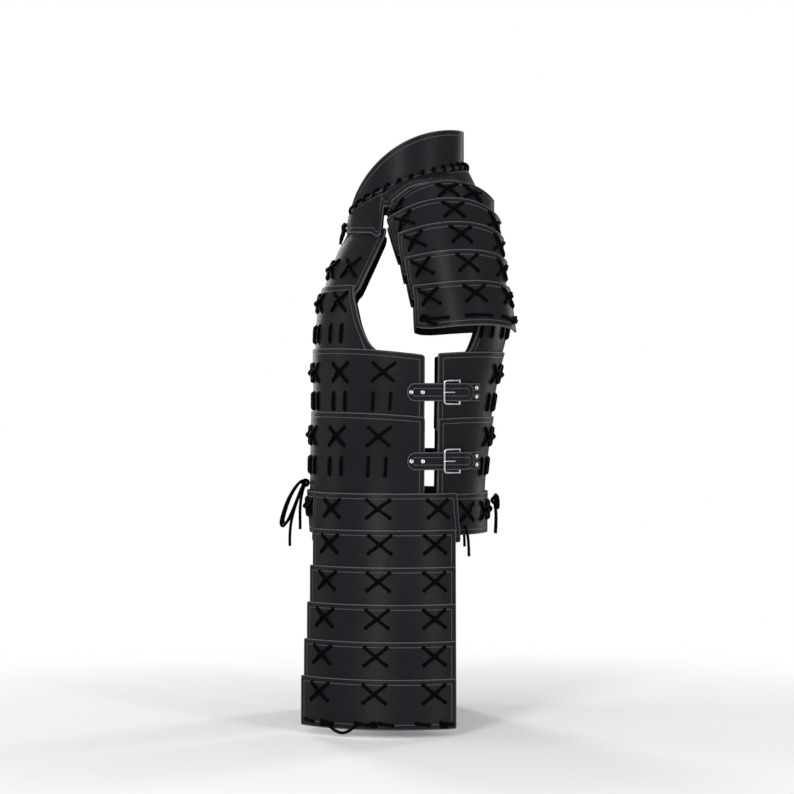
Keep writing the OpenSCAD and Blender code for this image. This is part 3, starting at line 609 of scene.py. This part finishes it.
def spun(bm, profile, centre, out):
    """Adds a turned shape to a bmesh: profile is radius and height in millimetres, out its axis."""
    for f in bm.faces:
        f.tag = True
    verts = [bm.verts.new((r / 1000, 0, h / 1000)) for r, h in profile]
    edges = [bm.edges.new(pair) for pair in zip(verts, verts[1:])]
    bmesh.ops.spin(bm, geom=verts + edges, cent=(0, 0, 0), axis=(0, 0, 1), angle=math.tau, steps=24,
                   use_merge=True)
    every = list(dict.fromkeys(v for f in bm.faces if not f.tag for v in f.verts))
    bmesh.ops.rotate(bm, verts=every, cent=(0, 0, 0), matrix=Vector(out).to_track_quat("Z", "Y").to_matrix())
    bmesh.ops.translate(bm, verts=every, vec=Vector(centre) / 1000)


# Finishes

def add_node(owner, kind, inputs=None, **settings):
    """Adds a shader node with its settings. An input gets a value, an output, or a node's first output."""
    node = owner.node_tree.nodes.new("ShaderNode" + kind)
    for key, value in settings.items():
        setattr(node, key, value)
    for key, value in (inputs or {}).items():
        if isinstance(value, bpy.types.Node):
            value = value.outputs[0]
        if isinstance(value, bpy.types.NodeSocket):
            owner.node_tree.links.new(value, node.inputs[key])
        else:
            node.inputs[key].default_value = value
    return node


def blank(name):
    material = bpy.data.materials.new(name)
    material.use_nodes = True
    material.node_tree.nodes.clear()
    return material


def surface(material, shader):
    add_node(material, "OutputMaterial", {"Surface": shader})
    return material


def seen_rays(owner):
    """1 for the rays that see the white room: the camera's, and those that mirror it or pass through."""
    path = add_node(owner, "LightPath")
    seen = add_node(owner, "Math", {0: path.outputs["Is Camera Ray"], 1: path.outputs["Is Glossy Ray"]},
                    operation="MAXIMUM")
    return add_node(owner, "Math", {0: seen, 1: path.outputs["Is Transmission Ray"]}, operation="MAXIMUM")


def bridle_leather():
    # Black bridle leather, vegetable tanned and waxed: a satin face with fine pores, a tooled line 2.3 mm
    # wide inside each edge and a burnished, slightly paler rim. Its gloss is the thin coat of wax
    leather = bpy.context.scene.armour_leather
    m = blank("black_bridle_leather")
    mm = add_node(m, "Attribute", attribute_name="edge_mm")
    parts = add_node(m, "SeparateXYZ", {0: mm.outputs["Vector"]})
    inside = add_node(m, "Math", {0: parts.outputs["X"], 1: parts.outputs["Y"]}, operation="MINIMUM")
    away = add_node(m, "Math", {0: inside, 1: leather.groove_inset * 1000}, operation="SUBTRACT")
    off_line = add_node(m, "Math", {0: away}, operation="ABSOLUTE")
    groove = add_node(m, "MapRange", {"Value": off_line, "From Min": 0.2, "From Max": 1.15, "To Min": 1.0,
                                      "To Max": 0.0}, interpolation_type="SMOOTHSTEP")
    rim = add_node(m, "MapRange", {"Value": inside, "From Min": 0.7, "From Max": 2.4, "To Min": 1.0,
                                   "To Max": 0.0}, interpolation_type="SMOOTHSTEP")
    place = add_node(m, "TexCoord").outputs["Object"]
    # Pores 1.3 mm apart, as coarse as a close view can show
    pores = add_node(m, "TexVoronoi", {"Vector": place, "Scale": 770.0, "Randomness": 0.9})
    creases = add_node(m, "TexNoise", {"Vector": place, "Scale": 95.0, "Detail": 4.0, "Roughness": 0.6})
    clouds = add_node(m, "TexNoise", {"Vector": place, "Scale": 14.0, "Detail": 3.0, "Roughness": 0.55})
    pore_mm = add_node(m, "Math", {0: pores.outputs["Distance"], 1: 0.07}, operation="MULTIPLY")
    crease_mm = add_node(m, "Math", {0: creases, 1: 0.5, 2: pore_mm}, operation="MULTIPLY_ADD")
    line_mm = add_node(m, "Math", {0: groove, 1: -0.75, 2: crease_mm}, operation="MULTIPLY_ADD")
    bump = add_node(m, "Bump", {"Height": line_mm, "Distance": 0.001, "Strength": 0.8})
    face = add_node(m, "Mix", {0: clouds, 6: tuple(leather.colour) + (1,), 7: tuple(leather.worn_colour) + (1,)},
                    data_type="RGBA")
    line = add_node(m, "Math", {0: groove, 1: 0.75}, operation="MULTIPLY")
    pale = add_node(m, "Math", {0: rim, 1: 0.85, 2: line}, operation="MULTIPLY_ADD", use_clamp=True)
    colour = add_node(m, "Mix", {0: pale, 6: face.outputs[2], 7: tuple(leather.edge_colour) + (1,)}, data_type="RGBA")
    rough = add_node(m, "MapRange", {"Value": creases, "From Min": 0.3, "From Max": 0.7, "To Min": 0.42,
                                     "To Max": 0.56})
    return surface(m, add_node(m, "BsdfPrincipled", {"Base Color": colour.outputs[2], "Roughness": rough,
                                                     "Normal": bump, "Specular IOR Level": 0.0, "Coat Weight": 0.14,
                                                     "Coat Roughness": 0.36, "Coat Normal": bump}))


def flesh_side():
    # The leather's flesh side, dyed through: a dull, fibrous brown black
    m = blank("leather_flesh_side")
    place = add_node(m, "TexCoord").outputs["Object"]
    fibres = add_node(m, "TexNoise", {"Vector": place, "Scale": 600.0, "Detail": 5.0, "Roughness": 0.7})
    clouds = add_node(m, "TexNoise", {"Vector": place, "Scale": 25.0, "Detail": 3.0})
    colour = add_node(m, "Mix", {0: clouds, 6: linear("#100f0f"), 7: linear("#1b1918")}, data_type="RGBA")
    bump = add_node(m, "Bump", {"Height": fibres, "Distance": 0.0006, "Strength": 0.7})
    rough = add_node(m, "MapRange", {"Value": fibres, "To Min": 0.8, "To Max": 0.95})
    return surface(m, add_node(m, "BsdfPrincipled", {"Base Color": colour.outputs[2], "Roughness": rough,
                                                     "Normal": bump, "Specular IOR Level": 0.01}))


def painted_hole_shadow():
    # A near black ring round a punched hole: painted shadow where the cord goes into the leather
    m = blank("painted_hole_shadow_ring")
    place = add_node(m, "TexCoord").outputs["Object"]
    wax = add_node(m, "TexNoise", {"Vector": place, "Scale": 500.0, "Detail": 2.0})
    colour = add_node(m, "Mix", {0: wax, 6: linear("#030303"), 7: linear("#0a0a0b")}, data_type="RGBA")
    rough = add_node(m, "MapRange", {"Value": wax, "To Min": 0.45, "To Max": 0.7})
    return surface(m, add_node(m, "BsdfPrincipled", {"Base Color": colour.outputs[2], "Roughness": rough,
                                                     "Specular IOR Level": 0.01}))


def braided_cord():
    # Braided rayon cord, waxed black: a tight diamond braid with a silky sheen; the grooves between its strands carry
    # painted shade
    m = blank("black_braided_cord")
    uv = add_node(m, "UVMap", uv_map="UVMap")
    parts = add_node(m, "SeparateXYZ", {0: uv})
    # Eight carriers round the cord, each crossing every 5.6 mm along it
    along = add_node(m, "Math", {0: parts.outputs["X"], 1: math.tau / 5.6}, operation="MULTIPLY")
    waves = []
    for way in (-1, 1):
        phase = add_node(m, "Math", {0: parts.outputs["Y"], 1: way * math.tau * 4, 2: along},
                         operation="MULTIPLY_ADD")
        waves.append(add_node(m, "Math", {0: phase}, operation="SINE"))
    strands = add_node(m, "Math", {0: waves[0], 1: waves[1]}, operation="MAXIMUM")
    place = add_node(m, "TexCoord").outputs["Object"]
    lint = add_node(m, "TexNoise", {"Vector": place, "Scale": 900.0, "Detail": 2.0})
    height = add_node(m, "Math", {0: lint, 1: 0.3, 2: strands}, operation="MULTIPLY_ADD")
    bump = add_node(m, "Bump", {"Height": height, "Distance": 0.00018, "Strength": 0.8})
    # Painted shade: the colour runs from near black in the braid's grooves to the cord colour on its crowns
    braid_groove_shade = add_node(m, "MapRange", {"Value": strands, "From Min": -0.6, "From Max": 1.0})
    cord = bpy.context.scene.armour_cord
    colour = add_node(m, "Mix", {0: braid_groove_shade, 6: linear("#020202"), 7: tuple(cord.colour) + (1,)}, data_type="RGBA")
    return surface(m, add_node(m, "BsdfPrincipled", {"Base Color": colour.outputs[2], "Roughness": 0.55,
                                                     "Normal": bump, "Specular IOR Level": 0.01}))


def nickel_plate():
    # Nickel plated steel, tumbled: bright, with fine handling marks
    m = blank("nickel_plated_steel")
    place = add_node(m, "TexCoord").outputs["Object"]
    marks = add_node(m, "TexNoise", {"Vector": place, "Scale": 420.0, "Detail": 4.0, "Roughness": 0.65})
    rough = add_node(m, "MapRange", {"Value": marks, "From Min": 0.3, "From Max": 0.7, "To Min": 0.18,
                                     "To Max": 0.36})
    bump = add_node(m, "Bump", {"Height": marks, "Distance": 0.0001, "Strength": 0.3})
    metal = bpy.context.scene.armour_metal
    tarnish = add_node(m, "Mix", {0: marks, 6: tuple(metal.colour) + (1,), 7: linear("#94969a")}, data_type="RGBA")
    return surface(m, add_node(m, "BsdfPrincipled", {"Base Color": tarnish.outputs[2], "Roughness": rough,
                                                     "Metallic": 1.0, "Normal": bump}))


FINISHES = {"leather": bridle_leather, "flesh": flesh_side, "hole": painted_hole_shadow, "cord": braided_cord,
            "metal": nickel_plate}
made_finishes = {}


def finish(name):
    """The material of that name, made the first time it is asked for."""
    if name not in made_finishes:
        made_finishes[name] = FINISHES[name]()
    return made_finishes[name]


# Settings that a user would change

class ArmourLeather(bpy.types.PropertyGroup):
    groove_inset: FloatProperty(name="Groove inset", description="Distance of the tooled line from each edge",
                                default=0.0088, min=0.004, max=0.015, unit="LENGTH")
    colour: FloatVectorProperty(name="Leather", description="Colour of the waxed face", size=3, subtype="COLOR",
                                default=linear("#111014")[:3], min=0, max=1)
    worn_colour: FloatVectorProperty(name="Worn leather", description="Colour where the wax has rubbed thin", size=3,
                                     subtype="COLOR", default=linear("#1a191d")[:3], min=0, max=1)
    edge_colour: FloatVectorProperty(name="Edge", description="Colour of the burnished edges and tooled lines",
                                     size=3, subtype="COLOR", default=linear("#545357")[:3], min=0, max=1)


class ArmourCord(bpy.types.PropertyGroup):
    colour: FloatVectorProperty(name="Cord", description="Colour of the lacing cord", size=3, subtype="COLOR",
                                default=linear("#0a0a0b")[:3], min=0, max=1)


class ArmourMetal(bpy.types.PropertyGroup):
    colour: FloatVectorProperty(name="Metal", description="Colour of the buckles and rivets", size=3,
                                subtype="COLOR", default=linear("#c9cacc")[:3], min=0, max=1)


class ArmourStage(bpy.types.PropertyGroup):
    distance: FloatProperty(name="Camera distance", description="Distance of the camera from the middle plane",
                            default=4.5, min=2, max=8, unit="LENGTH")
    height: FloatProperty(name="Camera height", description="Height of the camera over the frame's origin",
                          default=-0.38, min=-1, max=1, unit="LENGTH")
    floor: FloatProperty(name="Floor", description="Height of the floor", default=-0.945, min=-2, max=0,
                         unit="LENGTH")


# Operators, one for each group of pieces

class ARMOUR_OT_stage(bpy.types.Operator):
    """Sets the camera, the lights and the pale floor"""
    bl_idname = "armour.stage"
    bl_label = "Stage"

    def execute(self, context):
        stage = context.scene.armour_stage
        scene = context.scene
        scene.view_settings.view_transform = "Standard"
        data = bpy.data.cameras.new("Camera")
        data.lens = 116.6
        data.sensor_width = 36
        data.clip_end = 50
        camera = bpy.data.objects.new("Camera", data)
        camera.location = (stage.distance, -0.005, stage.height)
        camera.rotation_euler = (math.pi / 2, 0, math.pi / 2)
        scene.collection.objects.link(camera)
        scene.camera = camera

        def softbox(name, place, size, power, aim=(0, 0, -0.4)):
            light = bpy.data.lights.new(name, "AREA")
            light.shape = "RECTANGLE"
            light.size, light.size_y = size
            light.energy = power
            lamp = bpy.data.objects.new(name, light)
            lamp.location = place
            lamp.rotation_euler = (Vector(aim) - Vector(place)).to_track_quat("-Z", "Y").to_euler()
            scene.collection.objects.link(lamp)

        softbox("Key", (3.9, -1.5, 0.5), (0.8, 2.2), 100)
        softbox("Side", (3.4, 2.6, 0.3), (0.5, 2.2), 60)
        softbox("Top", (0.4, 0.0, 2.4), (2.4, 2.4), 20)
        softbox("Far key", (-3.9, -1.5, 0.5), (0.8, 2.2), 100)
        softbox("Far side", (-3.2, 2.8, 0.3), (0.9, 2.2), 80)
        softbox("Front", (-0.4, -4.2, 0.3), (1.2, 2.2), 30)

        world = bpy.data.worlds.new("Pale room")
        world.use_nodes = True
        world.node_tree.nodes.clear()
        room = add_node(world, "Background", {0: (1, 1, 1, 1), 1: 0.3})
        white = add_node(world, "Background", {0: (1, 1, 1, 1), 1: 1.0})
        mixed = add_node(world, "MixShader", {0: seen_rays(world), 1: room, 2: white})
        add_node(world, "OutputWorld", {"Surface": mixed})
        scene.world = world

        # A matt white floor that turns into the white room further out
        m = blank("matt_white_floor")
        place = add_node(m, "TexCoord").outputs["Object"]
        flat = add_node(m, "VectorMath", {0: place, 1: (1, 1, 0)}, operation="MULTIPLY")
        away = add_node(m, "VectorMath", {0: flat}, operation="LENGTH")
        fade = add_node(m, "MapRange", {"Value": away.outputs["Value"], "From Min": 0.55, "From Max": 1.5,
                                                  "To Min": 0.0, "To Max": 1.0}, interpolation_type="SMOOTHERSTEP")
        paint = add_node(m, "BsdfDiffuse", {"Color": linear("#f4f4f4")})
        glow = add_node(m, "Emission", {"Color": (1, 1, 1, 1), "Strength": 1.0})
        share = add_node(m, "Math", {0: seen_rays(m), 1: fade}, operation="MULTIPLY")
        surface(m, add_node(m, "MixShader", {0: share, 1: paint, 2: glow}))
        bm = bmesh.new()
        bmesh.ops.create_circle(bm, cap_ends=True, segments=96, radius=9)
        bmesh.ops.translate(bm, verts=bm.verts, vec=(0, 0, stage.floor))
        mesh = bpy.data.meshes.new("Floor")
        bm.to_mesh(mesh)
        bm.free()
        mesh.materials.append(m)
        floor = bpy.data.objects.new("Floor", mesh)
        scene.collection.objects.link(floor)
        return {"FINISHED"}


class ARMOUR_OT_ties(bpy.types.Operator):
    """Adds the loose waist ties, front and back, and their knots"""
    bl_idname = "armour.ties"
    bl_label = "Waist ties"

    def execute(self, context):
        def tie(name, route, node):
            line = smooth_route(route)
            bm = bmesh.new()
            cord_mesh(bm, line)
            piece = cord_piece(name, bm, "cuirass", node)
            path = [tuple(p / 1000) for p in line]
            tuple(path[0])
            route_length(line) / 1000

        for side in ("left", "right"):
            def on_side(route):
                return route if side == "left" else mirrored(route)
            tie("front_bow_loop_" + side, on_side(FRONT_LOOP), "front_waist_tie")
            tie("back_bow_loop_" + side, on_side(BACK_LOOP), "back_waist_tie")
            tie("back_bow_tail_" + side, on_side(BACK_TAIL), "back_waist_tie")
            tie("hip_tail_" + side, on_side(HIP_TAIL), "back_waist_tie")
        tie("front_bow_tail", FRONT_TAIL, "front_waist_tie")
        tie("front_bow_short_tail", SHORT_TAIL, "front_waist_tie")

        for name, y, z, way, node in (("front_bow_knot", -165, -530, -1, "front_waist_tie"),
                                      ("back_bow_knot", 166, -560.5, 1, "back_waist_tie")):
            bm = bmesh.new()
            for x, lift in ((-4.4, 0), (0, 0.6), (4.4, 0)):
                cord_mesh(bm, wrap_route((x, y + way * lift, z), 5.0, 0.4))
            cord_mesh(bm, smooth_route([(-9, y, z + 2), (-4, y + way * 1.2, z + 1), (4, y + way * 1.2, z - 1),
                                        (9, y, z - 2)]))
            cord_piece(name, bm, "cuirass", node)
        return {"FINISHED"}


class ARMOUR_OT_collar(bpy.types.Operator):
    """Adds the collar, the yoke and the whip stitches that join them"""
    bl_idname = "armour.collar"
    bl_label = "Collar and yoke"

    def execute(self, context):
        leather_piece("collar", lambda a, b: collar_point(COLLAR_END * (1 - 2 * a), b, 0), 128, 24, "cuirass",
                      ("collar",))

        corners = sorted({t for table in (YOKE_EDGE_Z, YOKE_EDGE_OUT) for t, _ in table})
        turns = []
        for low, high in zip(corners, corners[1:]):
            n = max(1, round((high - low) / 1.6))
            turns += [low + (high - low) * i / n for i in range(n)]
        turns = [-t for t in reversed(turns[1:] + [COLLAR_END])] + turns + [COLLAR_END]

        def yoke_point(turn, q):
            t = abs(turn)
            outer = body_point(180 - turn, lookup(t, YOKE_EDGE_Z), LAP_STEP + lookup(t, YOKE_EDGE_OUT))
            return yoke_seam(turn).lerp(outer, q) + Vector((0, 0, lookup(t, YOKE_BULGE) * math.sin(math.pi * q)))

        # The yoke ends under the first guard lames
        reach = []
        for turn in turns:
            q = 1.0
            while q > 0.3 and any(under_first_guard(yoke_point(turn, q - step)) for step in (0, 0.01, 0.02)):
                q -= 0.01
            reach.append(q)
        cols = len(turns) - 1

        def place(a, b):
            i = round(a * cols)
            return yoke_point(turns[i], b * reach[i])

        leather_piece("yoke", place, cols, 20, "cuirass", ("collar_yoke",), corner=3.0)

        count = 2 * math.floor(3.14 * (COLLAR_HALF_W + COLLAR_HALF_D) / 2 * COLLAR_END / 180 / WHIP_PITCH)
        bm, holes = bmesh.new(), []
        for i in range(count):
            turn = COLLAR_END * (2 * (i + 0.5) / count - 1) * 0.97
            t = math.radians(turn)
            p = yoke_seam(turn)
            out = Vector((math.sin(t) / COLLAR_HALF_W, math.cos(t) / COLLAR_HALF_D, 0)).normalized()
            side = Vector((-out.y, out.x, 0))

            def at(x, z, drift):
                return p + out * (x - LAP_STEP) + Vector((0, 0, z - 1)) + side * drift

            arc = [at(7.6 * math.cos(math.radians(d)), 7.6 * math.sin(math.radians(d)), -2.4 + 4.8 * n / 12)
                   for n, d in enumerate(range(-26, 105, 10))]
            cord_mesh(bm, [at(5.2, -6.4, -2.8)] + arc + [at(-4.5, 7.2, 2.6), at(-7.5, 6.8, 2.6)])
            holes.append((at(0.05, 7.6, 2.6), out))
        # The throat tie: its wraps, two bows of two loops and two short ends
        for x in (-5.5, 0, 5.5):
            cord_mesh(bm, wrap_route((x, -91.4 - (x == 0), -84), 5.6, 0.3))
        for s in (-1, 1):
            for wide, low, out in ((1, 0, 0), (0.78, -7, -2.5)):
                # The loop's first point drops less than the rest
                loop = [(s * x * wide, y + out, z + low * (0.4 if n == 0 else 1))
                        for n, (x, y, z) in enumerate(THROAT_LOOP)]
                cord_mesh(bm, smooth_route([(s * 3, -94, -81)] + loop + [(s * 3, -97, -87)], 2))
            cord_mesh(bm, smooth_route([(s * x, y, z) for x, y, z in THROAT_END], 2))
        cord_piece("collar_whip_stitches", bm, "cuirass", "collar_lacing")
        # Rings of painted shadow round the whip stitches' holes
        hole_shadow_rings("collar_hole_shadows", holes, "cuirass")
        return {"FINISHED"}


class ARMOUR_OT_cuirass(bpy.types.Operator):
    """Adds the ten lames of the cuirass and their lacing"""
    bl_idname = "armour.cuirass"
    bl_label = "Cuirass"

    def execute(self, context):
        for half, tops, dips, turn in (("front", FRONT_TOPS, FRONT_DIPS, front_edge_turn),
                                       ("back", BACK_TOPS, BACK_DIPS, back_edge_turn)):
            for k in range(5):
                bottom = lame_bottom(tops, k)

                def place(a, b):
                    w, z = 2 * a - 1, bottom + (tops[k] - bottom) * b
                    e = turn(k, z)
                    t = w * e if half == "front" else 180 + w * (180 - e)
                    p = body_point(t, z, lame_lean(tops, k, z))
                    p.z -= (dips[k] * b + dips[k + 1] * (1 - b)) * abs(w) ** (2 if k == 0 else 4)
                    return p

                leather_piece(f"{half}_lame_{k + 1}", place, 112, 26 if k < 4 else 16, "cuirass",
                              (f"{half}_lame_{k + 1}",))
        lacing_piece("front_lacing", [(cuirass_face(FRONT_TOPS, k), body_strands(FRONT_COLUMNS[k], FRONT_CROSS_Z[k],
                     FRONT_STITCH_Z[k], 0)) for k in range(5)], "cuirass", "front_lacing")
        lacing_piece("back_lacing", [(cuirass_face(BACK_TOPS, k), body_strands(BACK_COLUMNS[k], BACK_CROSS_Z[k],
                     BACK_STITCH_Z[k], 180)) for k in range(5)], "cuirass", "back_lacing")
        return {"FINISHED"}


class ARMOUR_OT_guards(bpy.types.Operator):
    """Adds the five lames of each shoulder guard and their lacing"""
    bl_idname = "armour.guards"
    bl_label = "Shoulder guards"

    def execute(self, context):
        for side in ("left", "right"):
            for k in range(5):
                face = guard_face(k)

                def place(a, b):
                    front = GUARD_FRONTS[k][0] * b + GUARD_FRONTS[k][1] * (1 - b)
                    return face(front + (GUARD_SPANS[k] - front) * a, -GUARD_H * (1 - b))

                body = "cuirass" if k == 0 else f"{side}_guard_{k + 1}"
                leather_piece(f"{side}_guard_lame_{k + 1}", place if side == "left" else other_side(place), 64, 18,
                              body, (f"{side}_guard_lame_{k + 1}",))
                node = "shoulder_hip_lacing" if k == 0 else f"{side}_guard_lacing_{k + 1}"
                lacing_piece(f"{side}_guard_lacing_{k + 1}", [(face, guard_strands(k))], body, node,
                             flip=side == "right", extra=guard_hem_knots(face) if k == 4 else ())
        return {"FINISHED"}


class ARMOUR_OT_tassets(bpy.types.Operator):
    """Adds the hip lames, the five hanging lames of each tasset and their lacing"""
    bl_idname = "armour.tassets"
    bl_label = "Tassets"

    def execute(self, context):
        for side in ("left", "right"):
            def on_side(place):
                return place if side == "left" else other_side(place)

            front, rear = HIP_TURNS
            leather_piece(f"{side}_hip_lame", on_side(lambda a, b: hip_face(front + (rear - front) * a,
                          HIP_TOP - TASSET_H * (1 - b))), 64, 18, "cuirass", (f"{side}_hip_lame",))
            lacing_piece(f"{side}_hip_lacing", [(hip_face, hip_strands())], "cuirass", "shoulder_hip_lacing",
                         flip=side == "right")
            for k in range(1, 6):
                face = tasset_face(k)

                def place(a, b):
                    h = -TASSET_H * (1 - b)
                    low, high = tasset_turns(k, h)
                    return face(low + (high - low) * a, h)

                body = f"{side}_tasset_{k}"
                leather_piece(f"{side}_tasset_lame_{k}", on_side(place), 72, 18, body, (f"{side}_tasset_lame_{k}",))
                lacing_piece(f"{side}_tasset_lacing_{k}", [(face, tasset_strands(k))], body,
                             f"{side}_tasset_lacing_{k}", flip=side == "right",
                             extra=tasset_hem_knots(face) if k == 5 else ())
        return {"FINISHED"}


class ARMOUR_OT_straps(bpy.types.Operator):
    """Adds the side straps, their chapes, buckles and rivets"""
    bl_idname = "armour.straps"
    bl_label = "Side straps"

    def execute(self, context):
        metal = bmesh.new()
        for s in (1, -1):
            for n, level in enumerate(STRAP_LEVELS):
                lean = (side_point(BAR_Y, level + 10, 0).x - side_point(BAR_Y, level - 10, 0).x) / 20 + 0.05

                def spot(y, rise, up):
                    """A place over the plates at a strap, leaning as they do."""
                    p = side_point(y, level, rise)
                    return Vector((s * (p.x + up * lean), p.y, level + up))

                def out(y):
                    d = side_point(y + 6, level, 0) - side_point(y - 6, level, 0)
                    return Vector((s * d.y, -d.x, 0)).normalized()

                def billet(a, b):
                    y = STRAP_FRONT_Y + (STRAP_END_Y - STRAP_FRONT_Y) * a
                    nose = max(0.0, 1 - (y - STRAP_FRONT_Y) / 13)
                    tip = max(0.0, 1 - (STRAP_END_Y - y) / 10)
                    half = STRAP_HALF * (1 - nose ** 2.4) ** 0.5 * (1 - 0.55 * tip ** 2)
                    return spot(y, lookup(y, BILLET_RISE) + STRAP_THICK, max(half, 3.5) * (2 * b - 1))

                def chape(half):
                    def place(a, b):
                        run, loop = CHAPE_END_Y - PIN_Y, math.pi * CHAPE_LOOP
                        at = a * (2 * run + loop)
                        up = half * CHAPE_MIDDLE + CHAPE_HALF * (2 * b - 1)
                        y = CHAPE_END_Y - min(at, 2 * run + loop - at)
                        taper = 1.2 * (y - PIN_Y) / run
                        if at < run:
                            return spot(y, 6.0 + taper + 4.1 * math.exp(-((y - PIN_Y) / 6) ** 2), up)
                        if at > run + loop:
                            return spot(y, 0.6 + taper, up)
                        turn = (at - run) / CHAPE_LOOP
                        return spot(PIN_Y - CHAPE_LOOP * math.sin(turn), PIN_RISE + CHAPE_LOOP * math.cos(turn), up)
                    return place

                side = "left" if s > 0 else "right"
                flip = (lambda f: f) if s > 0 else (lambda f: lambda a, b: f(1 - a, b))
                leather_piece(f"{side}_strap_{n + 1}", flip(billet), 72, 10, "cuirass", ("side_straps",),
                              thick=STRAP_THICK, corner=0, edge=0.6)
                for half in (-1, 1):
                    place = chape(half)
                    leather_piece(f"{side}_chape_{n + 1}_{'low' if half < 0 else 'high'}",
                                  flip(lambda a, b: place(1 - a, b)), 60, 4, "cuirass", ("side_straps",),
                                  thick=CHAPE_THICK, corner=0, edge=0.6)
                # Frame, pin and prong
                r = PIN_RISE
                frame_line = ([spot(y, r, -up) for y, up in HALF_FRAME] + [spot(BAR_Y, r, 0)]
                              + [spot(y, r, up) for y, up in reversed(HALF_FRAME)])
                prong = [(PIN_Y + 2.8, 0.6), (PIN_Y + 1, 3), (PIN_Y - 6, 3.4), (BAR_Y + 2, 3.3), (BAR_Y - 3.4, 2.6)]
                cord_mesh(metal, smooth_route(frame_line, 2), FRAME_WIRE)
                cord_mesh(metal, [spot(PIN_Y, r, up) for up in (-21, 0, 21)], PIN_WIRE)
                cord_mesh(metal, smooth_route([spot(y, r + rise, 0) for y, rise in prong], 2), PRONG_WIRE)
                for y in RIVET_YS:
                    spun(metal, RIVET_HEAD, spot(y, lookup(y, BILLET_RISE) + STRAP_THICK + 0.05, 0), out(y))
                for half in (-1, 1):
                    spun(metal, RIVET_HEAD, spot(CHAPE_END_Y - 6, 7.05, half * 7.5), out(CHAPE_END_Y - 6))
        bmesh.ops.recalc_face_normals(metal, faces=metal.faces)
        add_piece("buckles_and_rivets", metal, [finish("metal")], "cuirass", ("side_buckles",))
        return {"FINISHED"}


class ARMOUR_PT_panel(bpy.types.Panel):
    """Lists the armour's settings and steps"""
    bl_label = "Armour"
    bl_space_type = "VIEW_3D"
    bl_region_type = "UI"
    bl_category = "Armour"

    def draw(self, context):
        for settings in (context.scene.armour_leather, context.scene.armour_cord, context.scene.armour_metal,
                         context.scene.armour_stage):
            box = self.layout.box()
            for key in settings.__annotations__:
                box.prop(settings, key)
        for operator in OPERATORS:
            self.layout.operator(operator.bl_idname)


OPERATORS = (ARMOUR_OT_stage, ARMOUR_OT_ties, ARMOUR_OT_collar, ARMOUR_OT_cuirass, ARMOUR_OT_guards,
             ARMOUR_OT_tassets, ARMOUR_OT_straps)
SETTINGS = (("armour_leather", ArmourLeather), ("armour_cord", ArmourCord), ("armour_metal", ArmourMetal),
            ("armour_stage", ArmourStage))


def register():
    for name, group in SETTINGS:
        bpy.utils.register_class(group)
        setattr(bpy.types.Scene, name, PointerProperty(type=group))
    for item in OPERATORS + (ARMOUR_PT_panel,):
        bpy.utils.register_class(item)


def unregister():
    for item in reversed(OPERATORS + (ARMOUR_PT_panel,)):
        bpy.utils.unregister_class(item)
    for name, group in reversed(SETTINGS):
        delattr(bpy.types.Scene, name)
        bpy.utils.unregister_class(group)


def main():
    register()
    bpy.ops.armour.stage()
    bpy.ops.armour.ties()
    bpy.ops.armour.collar()
    bpy.ops.armour.cuirass()
    bpy.ops.armour.guards()
    bpy.ops.armour.tassets()
    bpy.ops.armour.straps()


if __name__ == "__main__":
    main()
